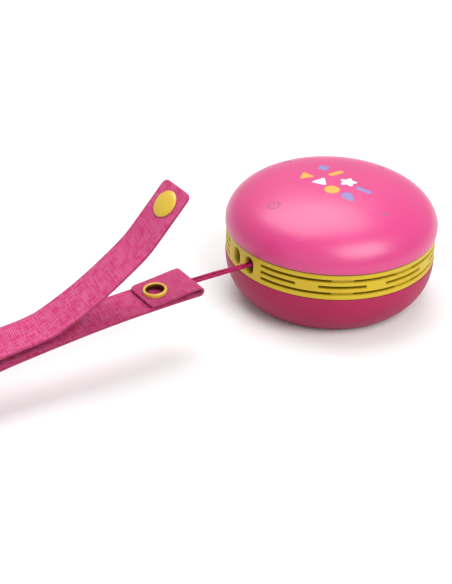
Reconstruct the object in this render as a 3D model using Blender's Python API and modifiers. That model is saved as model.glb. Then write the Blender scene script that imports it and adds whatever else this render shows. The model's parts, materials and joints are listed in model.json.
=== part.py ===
"""Round portable shower speaker with a snap-close carrying strap.

Metres, +Z up. The origin is the centre of the foot pad's underside, on the surface the speaker stands on.
The lanyard leaves the band at the front left; the charging port is opposite it, at the back right.
"""

import math

import bmesh
import bpy
from mathutils import Matrix, Vector

MM = 0.001
GAP = 0.3 * MM  # between pieces that touch on the real object

# Driving dimensions of the body.
BODY_RADIUS = 46 * MM
BODY_HEIGHT = 53.26 * MM
BAND_BOTTOM = 21.0 * MM
BAND_TOP = 32.45 * MM
BAND_RADIUS = 45.1 * MM
BAND_INNER_RADIUS = 42.3 * MM
LANYARD_AXIS = math.radians(212)  # middle between the two lanyard holes
PORT_AXIS = math.radians(32)
SEGMENTS = 36
ON_AXIS = 0.0001 * MM

# The upper shell is a superellipse turned about Z, and so is the lower one, which the base cuts off flat.
UPPER_WAIST = 31.3 * MM
UPPER_RISE = BODY_HEIGHT - UPPER_WAIST
UPPER_POWERS = (2 / 2.438, 2 / 2.553)
LOWER_WAIST = 20.75 * MM
LOWER_RADIUS = 45.23 * MM
LOWER_DROP = 28.06 * MM
LOWER_POWERS = (2 / 2.381, 2 / 2.356)
SHELL_BOTTOM = 0.4 * MM
FLOOR_TOP = 2.6 * MM
SHELL_WALL = 2.2 * MM
LOWER_RIM = 20.6 * MM
SKIN_WALL = 1.3 * MM
SKIN_RIM = 32.75 * MM
CAP_INSET = SKIN_WALL + GAP
CAP_WALL = 2.0 * MM
CAP_RIM = 33.0 * MM

# Levels of the inner structure.
BAFFLE_LOW = 18.8 * MM
BAFFLE_TOP = 20.6 * MM
BULKHEAD_LOW = 33.0 * MM
BULKHEAD_TOP = 35.0 * MM
BUTTON_BOARD_LOW = 40.5 * MM
BUTTON_BOARD_TOP = 41.7 * MM
MAIN_BOARD_LOW = 8.4 * MM
MAIN_BOARD_TOP = 9.6 * MM

# Case screws stand round the driver, at these angles from the port's axis.
SCREW_CIRCLE = 31 * MM
SCREW_ANGLES = [math.radians(a) for a in (66, 114, 246, 294)]
SCREW_RADIUS = 1.1 * MM
SCREW_HOLE = 1.4 * MM

# Buttons under the skin, with their angle about Z.
BUTTON_CIRCLE = 30.8 * MM
BUTTONS = (("power", 214.5), ("volume_down", 312.0), ("play", 43.0), ("volume_up", 128.5))
BUTTON_RADIUS = 3.0 * MM
BUTTON_BOTTOM = 44.55 * MM

# Grille: three rows of slots, laid out by their angle from the lanyard's axis.
SLOT_LEVELS = [z * MM for z in (23.55, 26.5, 29.45)]
SLOT_HEIGHT = 1.0 * MM
GROOVE_HEIGHT = 1.15 * MM  # blind groove that joins the slots of an outer row
SLOT_FIRST = 15.3
SHORT_SLOT_END = 36.9  # of the first slot in the middle row
SLOT_PITCH = 37.0
SLOT_CENTRE = 62.2
SLOT_HALF = 13.0
BRIDGE_HALF = 5.9
REAR_HALF = 20.0

# Lanyard holes and anchor.
HOLE_ANGLES = [math.radians(a) for a in (206.6, 218.6)]
HOLE_WIDTH = 5.2 * MM
HOLE_HEIGHT = 7.4 * MM
HOLE_LEVEL = 26.5 * MM
PIN_RADIUS = 0.8 * MM
PIN_DEPTH = 3.9 * MM  # in from the band's outside

# Driver.
DRIVER_HOLE = 21.0 * MM
DRIVER_SEGMENTS = 24

# Charging port, in the frame turned to the port's axis.
PORT_LEVEL = 11.5 * MM
PORT_SIZE = (11.4 * MM, 6.4 * MM)
COVER_SIZE = (18.7 * MM, 9.4 * MM)
COVER_SHIFT = -1.0 * MM
COVER_HINGE = -6.85 * MM
COVER_WALL = 1.0 * MM

# Battery, boards and cable, in the same frame.
BATTERY_AT = (-24.5 * MM, 10.9 * MM)  # along the port's axis, and up
BATTERY_RADIUS = 7.0 * MM
BATTERY_LENGTH = 40 * MM
BOARD_POSTS = [(21 * MM, side * 6.2 * MM) for side in (-1, 1)]
CABLE_AT = (29 * MM, 7.2 * MM, 0)

# Strap, in the vertical plane through the right-hand hole: (distance out from the hole, height).
STRAP_ANGLE = math.radians(214)
STRAP_WIDTH = 19.0 * MM
STRAP_THICKNESS = 1.0 * MM
STRAP_CORNER = 3.5 * MM
TAB_POINTS = ((52.3, 26.5), (45.5, 27.0), (38.0, 27.8), (32.5, 28.45))
FOLD_CENTRE, FOLD_RADIUS = (29.7, 27.1), 1.5
LEG_POINTS = (
    (34, 25.55), (42, 25.4), (52, 25.1), (64, 24.65), (78, 23.7), (92, 22.4),
    (106, 20.9), (120, 19.1), (134, 16.2), (148, 11.7), (158, 6.7),
)
LOOP_CENTRE, LOOP_RADIUS = (170.0, 6.4), 5.9
FLAP_POINTS = (
    (166, 14.3), (158, 17.2), (148, 20.0), (134, 22.5), (120, 24.2), (110, 25.4), (101, 26.3),
    (95, 27.5), (89, 29.9), (82, 33.2), (74, 37.5), (64.4, 43.6), (54, 51.2), (44, 61.8), (34.9, 71.9),
)
FLAP_HINGES = (150.0, 125.0, 104.0, 84.0, 62.0)  # distances out from the hole where the flap bends
HINGE_HALF_GAP = 0.3 * MM

# Snap fastener.
SOCKET_AT = (45.5, 27.5)
SNAP_ON_FLAP = 40.6
SOCKET_RADIUS = 5.0 * MM
SOCKET_BORE = 3.9 * MM
CAP_RADIUS = 5.75 * MM

# Lanyard cord: one loop from the toggle in the tab's fold, round the anchor pin and back.
CORD_RADIUS = 0.6 * MM
CORD_LEVEL = 27.1 * MM
STRAND_SPACING = 1.5 * MM
TOGGLE_RADIUS = 0.7 * MM
TOGGLE_LENGTH = 9.0 * MM

PINK = (0.85, 0.10, 0.36)
YELLOW = (0.80, 0.62, 0.05)


# ---------------------------------------------------------------- scene and materials

def clear_scene():
    for old in list(bpy.data.objects):
        bpy.data.objects.remove(old, do_unlink=True)


def new_collection(name):
    collection = bpy.data.collections.new(name)
    bpy.context.scene.collection.children.link(collection)
    return collection


def make_material(name, colour, roughness, metallic=0.0):
    material = bpy.data.materials.new(name)
    material.use_nodes = True
    shader = material.node_tree.nodes["Principled BSDF"]
    shader.inputs["Base Color"].default_value = (*colour, 1.0)
    shader.inputs["Roughness"].default_value = roughness
    shader.inputs["Metallic"].default_value = metallic
    material.diffuse_color = (*colour, 1.0)
    return material


clear_scene()
PARTS = new_collection("shower_speaker")
CUTTERS = new_collection("cutters")

SOFT_PINK = make_material("soft_touch_pink", PINK, 0.55)
SHELL_PINK = make_material("shell_pink", PINK, 0.45)
STRAP_PINK = make_material("woven_pink", (0.66, 0.06, 0.22), 0.85)
CORD_RED = make_material("crimson_cord", (0.45, 0.01, 0.08), 0.6)
BAND_YELLOW = make_material("band_yellow", YELLOW, 0.45)
SNAP_YELLOW = make_material("snap_yellow", (0.85, 0.66, 0.07), 0.3)
BLACK_MESH = make_material("acoustic_mesh", (0.02, 0.02, 0.02), 0.9)
BLACK_RUBBER = make_material("black_rubber", (0.03, 0.03, 0.03), 0.8)
PINK_RUBBER = make_material("pink_rubber", PINK, 0.6)
DARK_PLASTIC = make_material("dark_plastic", (0.06, 0.06, 0.07), 0.5)
STEEL = make_material("plated_steel", (0.7, 0.7, 0.72), 0.3, 1.0)
FERRITE = make_material("ferrite", (0.09, 0.09, 0.10), 0.6)
PAPER = make_material("cone_paper", (0.05, 0.05, 0.06), 0.8)
COPPER = make_material("copper", (0.75, 0.40, 0.20), 0.35, 1.0)
BOARD_GREEN = make_material("board_green", (0.03, 0.20, 0.08), 0.5)
SWITCH_GREY = make_material("switch_grey", (0.25, 0.25, 0.27), 0.5)
CELL_BLUE = make_material("cell_wrap", (0.05, 0.15, 0.45), 0.4)
LEAD_RED = make_material("lead_red", (0.60, 0.03, 0.03), 0.5)
LEAD_BLACK = make_material("lead_black", (0.02, 0.02, 0.02), 0.5)


def link(obj, material, helper=False):
    if helper:
        CUTTERS.objects.link(obj)
        obj.hide_render = True
        obj.display_type = "WIRE"
    else:
        PARTS.objects.link(obj)
        obj.data.materials.append(material)
    return obj


def new_empty(name, location, turn):
    empty = bpy.data.objects.new(name, None)
    empty.location = location
    empty.rotation_euler = (0, 0, turn)
    PARTS.objects.link(empty)
    return empty


PORT_FRAME = new_empty("port_frame", (0, 0, 0), PORT_AXIS)
EXIT_POINT = Vector((math.cos(HOLE_ANGLES[1]), math.sin(HOLE_ANGLES[1]), 0)) * BAND_RADIUS
STRAP_FRAME = new_empty("strap_frame", EXIT_POINT, STRAP_ANGLE)


# ---------------------------------------------------------------- modelling helpers

def place(obj, location=(0, 0, 0), turn=0.0, parent=None):
    obj.parent = parent
    obj.location = location
    obj.rotation_euler.z = turn
    return obj


def turned(name, profile, material=None, ring=False, segments=SEGMENTS, helper=False):
    """Turns (radius, height) points about Z, the outer side from top to bottom. A ring closes on itself."""
    mesh = bpy.data.meshes.new(name)
    count = len(profile)
    edges = [(i, i + 1) for i in range(count - 1)]
    if ring:
        edges.append((count - 1, 0))
    mesh.from_pydata([(radius, 0, height) for radius, height in profile], edges, [])
    obj = link(bpy.data.objects.new(name, mesh), material, helper)
    screw = obj.modifiers.new("turn", "SCREW")
    screw.steps = segments
    screw.render_steps = segments
    screw.use_merge_vertices = True
    screw.merge_threshold = 0.00001
    return obj


def washer(name, inner, outer, low, top, material, segments=SEGMENTS, helper=False):
    profile = [(outer, top), (outer, low), (inner, low), (inner, top)]
    return turned(name, profile, material, True, segments, helper)


def disc(name, radius, low, top, material=None, segments=SEGMENTS, helper=False):
    """An upright cylinder between two heights."""
    mesh = bpy.data.meshes.new(name)
    shape = bmesh.new()
    middle = Matrix.Translation((0, 0, (low + top) / 2))
    size = {"radius1": radius, "radius2": radius, "depth": top - low, "segments": segments}
    bmesh.ops.create_cone(shape, cap_ends=True, matrix=middle, **size)
    shape.to_mesh(mesh)
    shape.free()
    return link(bpy.data.objects.new(name, mesh), material, helper)


def block(name, size, centre, material=None, helper=False):
    mesh = bpy.data.meshes.new(name)
    shape = bmesh.new()
    bmesh.ops.create_cube(shape, size=1, matrix=Matrix.Translation(centre) @ Matrix.Diagonal((*size, 1)))
    shape.to_mesh(mesh)
    shape.free()
    return link(bpy.data.objects.new(name, mesh), material, helper)


def torus_profile(radius, level, section, count=5):
    angles = [2 * math.pi * i / count for i in range(count)]
    return [(radius + section * math.cos(a), level - section * math.sin(a)) for a in angles]


def boolean(obj, other, operation="DIFFERENCE"):
    modifier = obj.modifiers.new(operation.lower(), "BOOLEAN")
    modifier.operation = operation
    modifier.object = other
    return obj


def bevelled(obj, width, segments=1):
    modifier = obj.modifiers.new("round", "BEVEL")
    modifier.width = width
    modifier.segments = segments
    modifier.limit_method = "ANGLE"
    return obj


def superellipse(radius, rise, waist, powers, start, end, count):
    """(radius, height) points of part of a superellipse quarter. A negative rise goes down."""
    vertical, radial = powers
    points = []
    for i in range(count):
        angle = start + (end - start) * i / (count - 1)
        out = radius * max(math.cos(angle), 0.0) ** radial
        points.append((0.0 if out < ON_AXIS else out, waist + rise * math.sin(angle) ** vertical))
    return points


def upper_points(inset, rim, count):
    """From the crown down to the rim, the surface this far inside the skin."""
    rise = UPPER_RISE - inset
    last = math.asin(((rim - UPPER_WAIST) / rise) ** (1 / UPPER_POWERS[0]))
    return superellipse(BODY_RADIUS - inset, rise, UPPER_WAIST, UPPER_POWERS, math.pi / 2, last, count)


def lower_points(inset, bottom, count):
    """From the waist down to the flat base, the surface this far inside the lower shell."""
    drop = LOWER_DROP - inset
    last = math.asin(((LOWER_WAIST - bottom) / drop) ** (1 / LOWER_POWERS[0]))
    first = math.asin(((LOWER_WAIST - LOWER_RIM) / drop) ** (1 / LOWER_POWERS[0]))
    return superellipse(LOWER_RADIUS - inset, -drop, LOWER_WAIST, LOWER_POWERS, first, last, count)


def shell_radius(level):
    """The lower shell's outside radius at this height."""
    vertical, radial = LOWER_POWERS
    sine = ((LOWER_WAIST - level) / LOWER_DROP) ** (1 / vertical)
    return LOWER_RADIUS * math.sqrt(1 - sine ** 2) ** radial


def polar(radius, angle, height=0.0):
    return (radius * math.cos(angle), radius * math.sin(angle), height)


def smooth_path(points, step):
    """A smooth curve through the points, read off at about this spacing."""
    ends = [points[0], *points, points[-1]]
    path = []
    for before, start, end, after in zip(ends, ends[1:], ends[2:], ends[3:]):
        before, start, end, after = (Vector(p) for p in (before, start, end, after))
        count = max(1, round((end - start).length / step))
        for i in range(count):
            t = i / count
            path.append(
                0.5 * (
                    2 * start
                    + (end - before) * t
                    + (2 * before - 5 * start + 4 * end - after) * t ** 2
                    + (3 * start - before - 3 * end + after) * t ** 3
                )
            )
    path.append(Vector(points[-1]))
    return path


def arc_points(centre, radius, start, end, count):
    """Points on an arc between two angles in degrees, in the plane of the path."""
    angles = [math.radians(start + (end - start) * i / (count - 1)) for i in range(count)]
    return [(centre[0] + radius * math.cos(a), centre[1] + radius * math.sin(a)) for a in angles]


# ---------------------------------------------------------------- upper shell and buttons

def top_skin():
    """Soft-touch dome over the whole top, with a small rounded lip over the band."""
    lip = [(BODY_RADIUS - 0.1 * MM, SKIN_RIM + 0.25 * MM), (BODY_RADIUS - 0.5 * MM, SKIN_RIM)]
    inside = upper_points(SKIN_WALL, SKIN_RIM, 7)
    profile = upper_points(0, SKIN_RIM + 0.7 * MM, 10) + lip + inside[::-1]
    return turned("top_skin", profile, SOFT_PINK)


def top_cap():
    """Rigid dome under the skin, with a hole for each button."""
    profile = upper_points(CAP_INSET, CAP_RIM, 8) + upper_points(CAP_INSET + CAP_WALL, CAP_RIM, 7)[::-1]
    cap = turned("top_cap", profile, DARK_PLASTIC)
    for name, angle in BUTTONS:
        hole = disc(f"hole_for_{name}", BUTTON_RADIUS + 0.4 * MM, 38 * MM, 52 * MM, segments=16, helper=True)
        place(hole, polar(BUTTON_CIRCLE, math.radians(angle)))
        boolean(cap, hole)
    return cap


def buttons():
    """Plungers between the skin and the switches, their tops cut to the skin's inner shape."""
    crown = upper_points(CAP_INSET, CAP_RIM, 7)
    inside_skin = turned("inside_of_skin", crown + [(0, CAP_RIM)], helper=True)
    for name, angle in BUTTONS:
        button = disc(f"button_{name}", BUTTON_RADIUS, BUTTON_BOTTOM, 51 * MM, DARK_PLASTIC, 16)
        place(button, polar(BUTTON_CIRCLE, math.radians(angle)))
        boolean(button, inside_skin, "INTERSECT")


def button_board():
    """Ring-shaped board that carries the four switches."""
    return washer("button_board", 21 * MM, 37 * MM, BUTTON_BOARD_LOW, BUTTON_BOARD_TOP, BOARD_GREEN, 32)


def switches():
    side, height, actuator = 5 * MM, 1.5 * MM, 1.3 * MM
    base = BUTTON_BOARD_TOP + GAP
    middle, tip = base + height / 2, base + height + 0.6 * MM
    for name, angle in BUTTONS:
        switch = block(f"switch_{name}", (side, side, height), (0, 0, middle), SWITCH_GREY)
        place(switch, polar(BUTTON_CIRCLE, math.radians(angle)), math.radians(angle))
        stub = disc(f"actuator_{name}", actuator, middle, tip, None, 10, True)
        place(stub, switch.location)
        boolean(switch, stub, "UNION")


def upper_bulkhead():
    """Plate that closes the top chamber, with the cone that turns the sound out to the band."""
    radius, cone_radius, cone_tip = 40.8 * MM, 15 * MM, 27.4 * MM
    profile = [
        (0, BULKHEAD_TOP), (radius, BULKHEAD_TOP), (radius, BULKHEAD_LOW), (cone_radius, BULKHEAD_LOW),
        (cone_radius / 2, BULKHEAD_LOW - 2.2 * MM), (1.5 * MM, cone_tip), (0, cone_tip),
    ]
    plate = turned("upper_bulkhead", profile, DARK_PLASTIC)
    for i, angle in enumerate(SCREW_ANGLES):
        top = BUTTON_BOARD_LOW - GAP
        boss = disc(f"bulkhead_boss_{i + 1}", 2.8 * MM, BULKHEAD_TOP - MM, top, None, 10, True)
        hole = disc(f"bulkhead_hole_{i + 1}", SCREW_HOLE, BULKHEAD_LOW - MM, top - MM, None, 10, True)
        for piece in (boss, hole):
            place(piece, polar(SCREW_CIRCLE, angle), 0, PORT_FRAME)
        boolean(plate, boss, "UNION")
        boolean(plate, hole)
    boolean(plate, cable_hole())
    return plate


def seals():
    """O-rings that seal the upper and the lower chamber."""
    section = 0.45 * MM
    turned("upper_seal", torus_profile(41.6 * MM, 34.0 * MM, section), BLACK_RUBBER, True)
    turned("lower_seal", torus_profile(42.2 * MM, 19.7 * MM, section), BLACK_RUBBER, True)


# ---------------------------------------------------------------- grille band

def arc_bar(name, inner, outer, level, height, start, end):
    """A bar bent round Z between two angles from the lanyard's axis, in degrees, used to cut a slot."""
    count = max(2, round((end - start) / 8))
    angles = [math.radians(start + (end - start) * i / count) + LANYARD_AXIS for i in range(count + 1)]
    outline = [polar(outer, a) for a in angles] + [polar(inner, a) for a in reversed(angles)]
    shape = bmesh.new()
    face = shape.faces.new([shape.verts.new((x, y, level - height / 2)) for x, y, _ in outline])
    raised = bmesh.ops.extrude_face_region(shape, geom=[face])
    lifted = [v for v in raised["geom"] if isinstance(v, bmesh.types.BMVert)]
    bmesh.ops.translate(shape, vec=(0, 0, height), verts=lifted)
    bmesh.ops.recalc_face_normals(shape, faces=shape.faces)
    mesh = bpy.data.meshes.new(name)
    shape.to_mesh(mesh)
    shape.free()
    return link(bpy.data.objects.new(name, mesh), None, True)


def half_ring_slots():
    """(start, end) of the slots on one side of the lanyard's axis: the outer rows, then the middle row."""
    centres = [SLOT_CENTRE + SLOT_PITCH * i for i in range(3)]
    middle = [(SLOT_FIRST, SHORT_SLOT_END)]
    middle += [(c - SLOT_HALF, c + SLOT_HALF) for c in centres]
    starts = [SLOT_FIRST] + [c + BRIDGE_HALF for c in centres]
    ends = [c - BRIDGE_HALF for c in centres] + [180 - BRIDGE_HALF]
    return list(zip(starts, ends)), middle


def grille_band():
    """Ring with three rows of slots, two lanyard holes and an inner flange at the top."""
    flange_radius, flange_low = 39.5 * MM, 31.2 * MM
    profile = [
        (BAND_RADIUS, BAND_TOP), (BAND_RADIUS, BAND_BOTTOM), (BAND_INNER_RADIUS, BAND_BOTTOM),
        (BAND_INNER_RADIUS, flange_low), (flange_radius, flange_low), (flange_radius, BAND_TOP),
    ]
    band = turned("grille_band", profile, BAND_YELLOW, True, 64)
    outside, inside = BAND_RADIUS + MM, BAND_INNER_RADIUS - MM
    groove_floor = BAND_RADIUS - 0.9 * MM
    outer_rows, middle_row = half_ring_slots()
    rows = ((SLOT_LEVELS[0], outer_rows), (SLOT_LEVELS[1], middle_row), (SLOT_LEVELS[2], outer_rows))
    for row, (level, spans) in enumerate(rows):
        mirrored = [(360 - end, 360 - start) for start, end in spans]
        if row == 1:
            mirrored.append((180 - REAR_HALF, 180 + REAR_HALF))
        for i, (start, end) in enumerate(spans + mirrored):
            slot = arc_bar(f"slot_{row}_{i}", inside, outside, level, SLOT_HEIGHT, start, end)
            boolean(band, slot)
        if row != 1:
            span = (SLOT_FIRST + 2, 358 - SLOT_FIRST)
            boolean(band, arc_bar(f"groove_{row}", groove_floor, outside, level, GROOVE_HEIGHT, *span))
    for i, angle in enumerate(HOLE_ANGLES):
        boolean(band, lanyard_hole(f"lanyard_hole_{i + 1}", angle))
    return band


def lanyard_hole(name, angle):
    """Upright slot with round ends, through the band's wall."""
    depth = 6 * MM
    straight = HOLE_HEIGHT - HOLE_WIDTH
    outline = []
    for side, start in ((1, 0), (-1, 180)):
        for i in range(7):
            a = math.radians(start + 30 * i)
            across, up = math.cos(a) * HOLE_WIDTH / 2, math.sin(a) * HOLE_WIDTH / 2
            outline.append((0, across, up + side * straight / 2))
    shape = bmesh.new()
    face = shape.faces.new([shape.verts.new(p) for p in outline])
    raised = bmesh.ops.extrude_face_region(shape, geom=[face])
    moved = [v for v in raised["geom"] if isinstance(v, bmesh.types.BMVert)]
    bmesh.ops.translate(shape, vec=(depth, 0, 0), verts=moved)
    bmesh.ops.recalc_face_normals(shape, faces=shape.faces)
    mesh = bpy.data.meshes.new(name)
    shape.to_mesh(mesh)
    shape.free()
    cutter = link(bpy.data.objects.new(name, mesh), None, True)
    return place(cutter, polar(BAND_RADIUS - depth / 2 - MM, angle, HOLE_LEVEL), angle)


def grille_mesh():
    """Woven strip behind the slots, left open behind the lanyard holes."""
    mesh = washer("grille_mesh", 41.5 * MM, 41.9 * MM, BAND_BOTTOM + GAP, 30.9 * MM, BLACK_MESH, 48)
    opening = arc_bar("mesh_opening", 38 * MM, 46 * MM, HOLE_LEVEL, 20 * MM, -13, 13)
    return boolean(mesh, opening)


def lanyard_pin():
    """Upright pin behind the right-hand hole, held between the baffle and the band's flange."""
    pin = disc("lanyard_pin", PIN_RADIUS, BAFFLE_TOP + GAP, 30.9 * MM, STEEL, 12)
    return place(pin, polar(BAND_RADIUS - PIN_DEPTH, HOLE_ANGLES[1]))


# ---------------------------------------------------------------- lower shell

def bottom_shell():
    """Bowl with screw bosses, battery saddles, board posts and the charging port."""
    outside = lower_points(0, SHELL_BOTTOM, 8)
    inside = lower_points(SHELL_WALL, FLOOR_TOP, 5)
    pad_recess = [(27.4 * MM, SHELL_BOTTOM), (27.4 * MM, 1.2 * MM), (0, 1.2 * MM)]
    shell = turned("bottom_shell", [(0, FLOOR_TOP)] + inside[::-1] + outside + pad_recess, SHELL_PINK)
    for i, angle in enumerate(SCREW_ANGLES):
        spot = polar(SCREW_CIRCLE, angle)
        boss = disc(f"shell_boss_{i + 1}", 3.0 * MM, 2 * MM, BAFFLE_LOW - GAP, None, 10, True)
        hole = disc(f"shell_hole_{i + 1}", SCREW_HOLE, 0, 20 * MM, None, 10, True)
        counterbore = disc(f"counterbore_{i + 1}", 2.5 * MM, -MM, 2.7 * MM, None, 10, True)
        for piece in (boss, hole, counterbore):
            place(piece, spot, 0, PORT_FRAME)
        boolean(shell, boss, "UNION")
        boolean(shell, hole)
        boolean(shell, counterbore)
    add_battery_saddles(shell)
    add_board_posts(shell)
    opening = block("port_opening", (8 * MM, *PORT_SIZE), (42 * MM, 0, PORT_LEVEL), helper=True)
    place(opening, parent=PORT_FRAME)
    boolean(shell, opening)
    boolean(shell, cover_recess())
    return shell


def add_battery_saddles(shell):
    x, z = BATTERY_AT
    for side in (-1, 1):
        centre = (x, side * 14 * MM, 4.1 * MM)
        saddle = block(f"saddle_{side + 2}", (11 * MM, 3 * MM, 4 * MM), centre, helper=True)
        place(saddle, parent=PORT_FRAME)
        room = disc(f"battery_room_{side + 2}", BATTERY_RADIUS + GAP, -3 * MM, 3 * MM, None, 24, True)
        room.parent = PORT_FRAME
        room.location = (x, side * 14 * MM, z)
        room.rotation_euler = (math.pi / 2, 0, 0)
        boolean(saddle, room)
        boolean(shell, saddle, "UNION")


def add_board_posts(shell):
    for i, (x, y) in enumerate(BOARD_POSTS):
        post = disc(f"board_post_{i + 1}", 2.3 * MM, 2 * MM, MAIN_BOARD_LOW - GAP, None, 10, True)
        hole = disc(f"board_post_hole_{i + 1}", 1.05 * MM, 3.6 * MM, 9 * MM, None, 10, True)
        for piece in (post, hole):
            place(piece, (x, y, 0), 0, PORT_FRAME)
        boolean(shell, post, "UNION")
        boolean(shell, hole)


def foot_pad():
    """Rubber disc that the speaker stands on."""
    edge = 0.25 * MM
    radius, top = 27 * MM, 0.9 * MM
    profile = [(0, top), (radius, top), (radius, edge), (radius - edge, 0), (0, 0)]
    return turned("foot_pad", profile, BLACK_RUBBER)


def case_screws():
    """Long screws from below, through the lower shell and the baffle into the bulkhead."""
    head, head_low, head_top, tip = 2.1 * MM, 1.0 * MM, 2.4 * MM, 38.5 * MM
    profile = [
        (0, tip), (0.5 * MM, tip), (SCREW_RADIUS, tip - MM), (SCREW_RADIUS, head_top), (head, head_top),
        (head, head_low), (0, head_low),
    ]
    for i, angle in enumerate(SCREW_ANGLES):
        screw = turned(f"case_screw_{i + 1}", profile, STEEL, segments=12)
        slot = block(f"screw_slot_{i + 1}", (3 * MM, 0.6 * MM, MM), (0, 0, head_low), helper=True)
        for piece in (screw, slot):
            place(piece, polar(SCREW_CIRCLE, angle), angle, PORT_FRAME)
        boolean(screw, slot)


# ---------------------------------------------------------------- charging port

def shell_solid(name, inset):
    """The lower shell's outside, this far in, as a solid to cut with."""
    profile = [(0, LOWER_RIM)] + lower_points(inset, SHELL_BOTTOM + inset, 8) + [(0, SHELL_BOTTOM + inset)]
    return turned(name, profile, helper=True)


def cover_block(name, low_side, high_side, margin, material=None):
    """A block over the port, across the port's axis between two distances from it."""
    height = COVER_SIZE[1] - 2 * margin
    middle, width = (low_side + high_side) / 2, high_side - low_side
    obj = block(name, (10 * MM, width, height), (43 * MM, middle, PORT_LEVEL), material, material is None)
    return place(obj, parent=PORT_FRAME)


def cover_sides():
    half = COVER_SIZE[0] / 2
    return COVER_SHIFT - half, COVER_SHIFT + half


def cover_recess():
    recess = cover_block("cover_recess", *cover_sides(), 0)
    return boolean(recess, shell_solid("recess_floor", COVER_WALL + GAP))


def port_cover():
    """Rubber flap flush with the shell, with a plug that fills the port, and the strip that it hinges on."""
    low_side, high_side = cover_sides()
    outside = shell_solid("cover_outside", 0)
    inside = shell_solid("cover_inside", COVER_WALL)
    anchor = cover_block("port_cover_anchor", low_side + GAP, COVER_HINGE - GAP / 2, GAP, PINK_RUBBER)
    flap = cover_block("port_cover", COVER_HINGE + GAP / 2, high_side - GAP, GAP, PINK_RUBBER)
    for piece in (anchor, flap):
        boolean(piece, outside, "INTERSECT")
        boolean(piece, inside)
    boolean(anchor, hinge_clearance())
    margin = 0.4 * MM
    plug_size = (2.2 * MM, PORT_SIZE[0] - 2 * margin, PORT_SIZE[1] - 2 * margin)
    plug = block("port_plug", plug_size, (41.9 * MM, 0, PORT_LEVEL), helper=True)
    place(plug, parent=PORT_FRAME)
    boolean(flap, plug, "UNION")
    move_origin(flap, cover_hinge_point())
    return flap


def hinge_clearance():
    """Room in the glued strip for the flap's edge, which stands proud of the axis at the top of the cover."""
    half = COVER_SIZE[1] / 2
    room = disc("hinge_clearance", 0.9 * MM, PORT_LEVEL - half, PORT_LEVEL + half, None, 16, True)
    x, y, _ = cover_hinge_point()
    return place(room, (x, y, 0), 0, PORT_FRAME)


def cover_hinge_point():
    """Just outside the shell where the flap starts, in the port's frame."""
    clear = 0.35 * MM
    surface = math.sqrt(shell_radius(PORT_LEVEL) ** 2 - COVER_HINGE ** 2)
    return Vector((surface + clear, COVER_HINGE, PORT_LEVEL))


def move_origin(obj, point):
    """Moves the object's origin to the point, leaving its shape where it is."""
    shift = Vector(point) - obj.location
    obj.data.transform(Matrix.Translation(-shift))
    obj.location = point


# ---------------------------------------------------------------- driver

def baffle():
    """Plate that closes the lower chamber, holds the driver and carries the pillars through the band."""
    plate = washer("driver_baffle", DRIVER_HOLE, 41.4 * MM, BAFFLE_LOW, BAFFLE_TOP, DARK_PLASTIC)
    pillar_top = BULKHEAD_LOW - GAP
    for i, angle in enumerate(SCREW_ANGLES):
        pillar = disc(f"pillar_{i + 1}", 2.6 * MM, BAFFLE_LOW + MM, pillar_top, None, 10, True)
        hole = disc(f"pillar_hole_{i + 1}", SCREW_HOLE, BAFFLE_LOW - MM, pillar_top + MM, None, 10, True)
        for piece in (pillar, hole):
            place(piece, polar(SCREW_CIRCLE, angle), 0, PORT_FRAME)
        boolean(plate, pillar, "UNION")
        boolean(plate, hole)
    tube = disc("cable_tube", 2.2 * MM, BAFFLE_LOW + MM, pillar_top, None, 10, True)
    place(tube, CABLE_AT, 0, PORT_FRAME)
    boolean(plate, tube, "UNION")
    boolean(plate, cable_hole())
    return plate


def driver_frame():
    """Gasket, basket, magnet and pole pieces, from the top down."""
    count = DRIVER_SEGMENTS
    gasket_low, gasket_top = BAFFLE_TOP + GAP, BAFFLE_TOP + 0.8 * MM
    washer("driver_gasket", 21.3 * MM, 23.8 * MM, gasket_low, gasket_top, BLACK_RUBBER, count)
    flange_low, flange_top, flange_radius = 21.7, 22.6, 24.0
    profile = [
        (flange_radius, flange_top), (flange_radius, flange_low), (20.6, flange_low), (20.2, 18.6),
        (14.6, 12.2), (14.6, 11.0), (8.6, 11.0), (8.6, 11.8), (13.8, 12.0), (19.4, 18.9), (19.8, flange_top),
    ]
    basket = turned("driver_basket", [(r * MM, z * MM) for r, z in profile], STEEL, True, count)
    for i in range(2):
        window = block(f"basket_window_{i + 1}", (60 * MM, 9 * MM, 4 * MM), (0, 0, 15.6 * MM), helper=True)
        place(window, turn=PORT_AXIS + math.radians(45 + 90 * i))
        boolean(basket, window)
    washer("driver_top_plate", 6.95 * MM, 14.4 * MM, 9.5 * MM, 10.7 * MM, STEEL, count)
    washer("driver_magnet", 8.2 * MM, 15.0 * MM, 6.0 * MM, 9.2 * MM, FERRITE, count)
    pole, plate = 5.9, 14.0
    pole_top, plate_top, plate_low = 10.7, 5.7, 4.5
    yoke = [
        (0, pole_top), (pole, pole_top), (pole, plate_top),
        (plate, plate_top), (plate, plate_low), (0, plate_low),
    ]
    turned("driver_yoke", [(r * MM, z * MM) for r, z in yoke], STEEL, segments=count)


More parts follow.
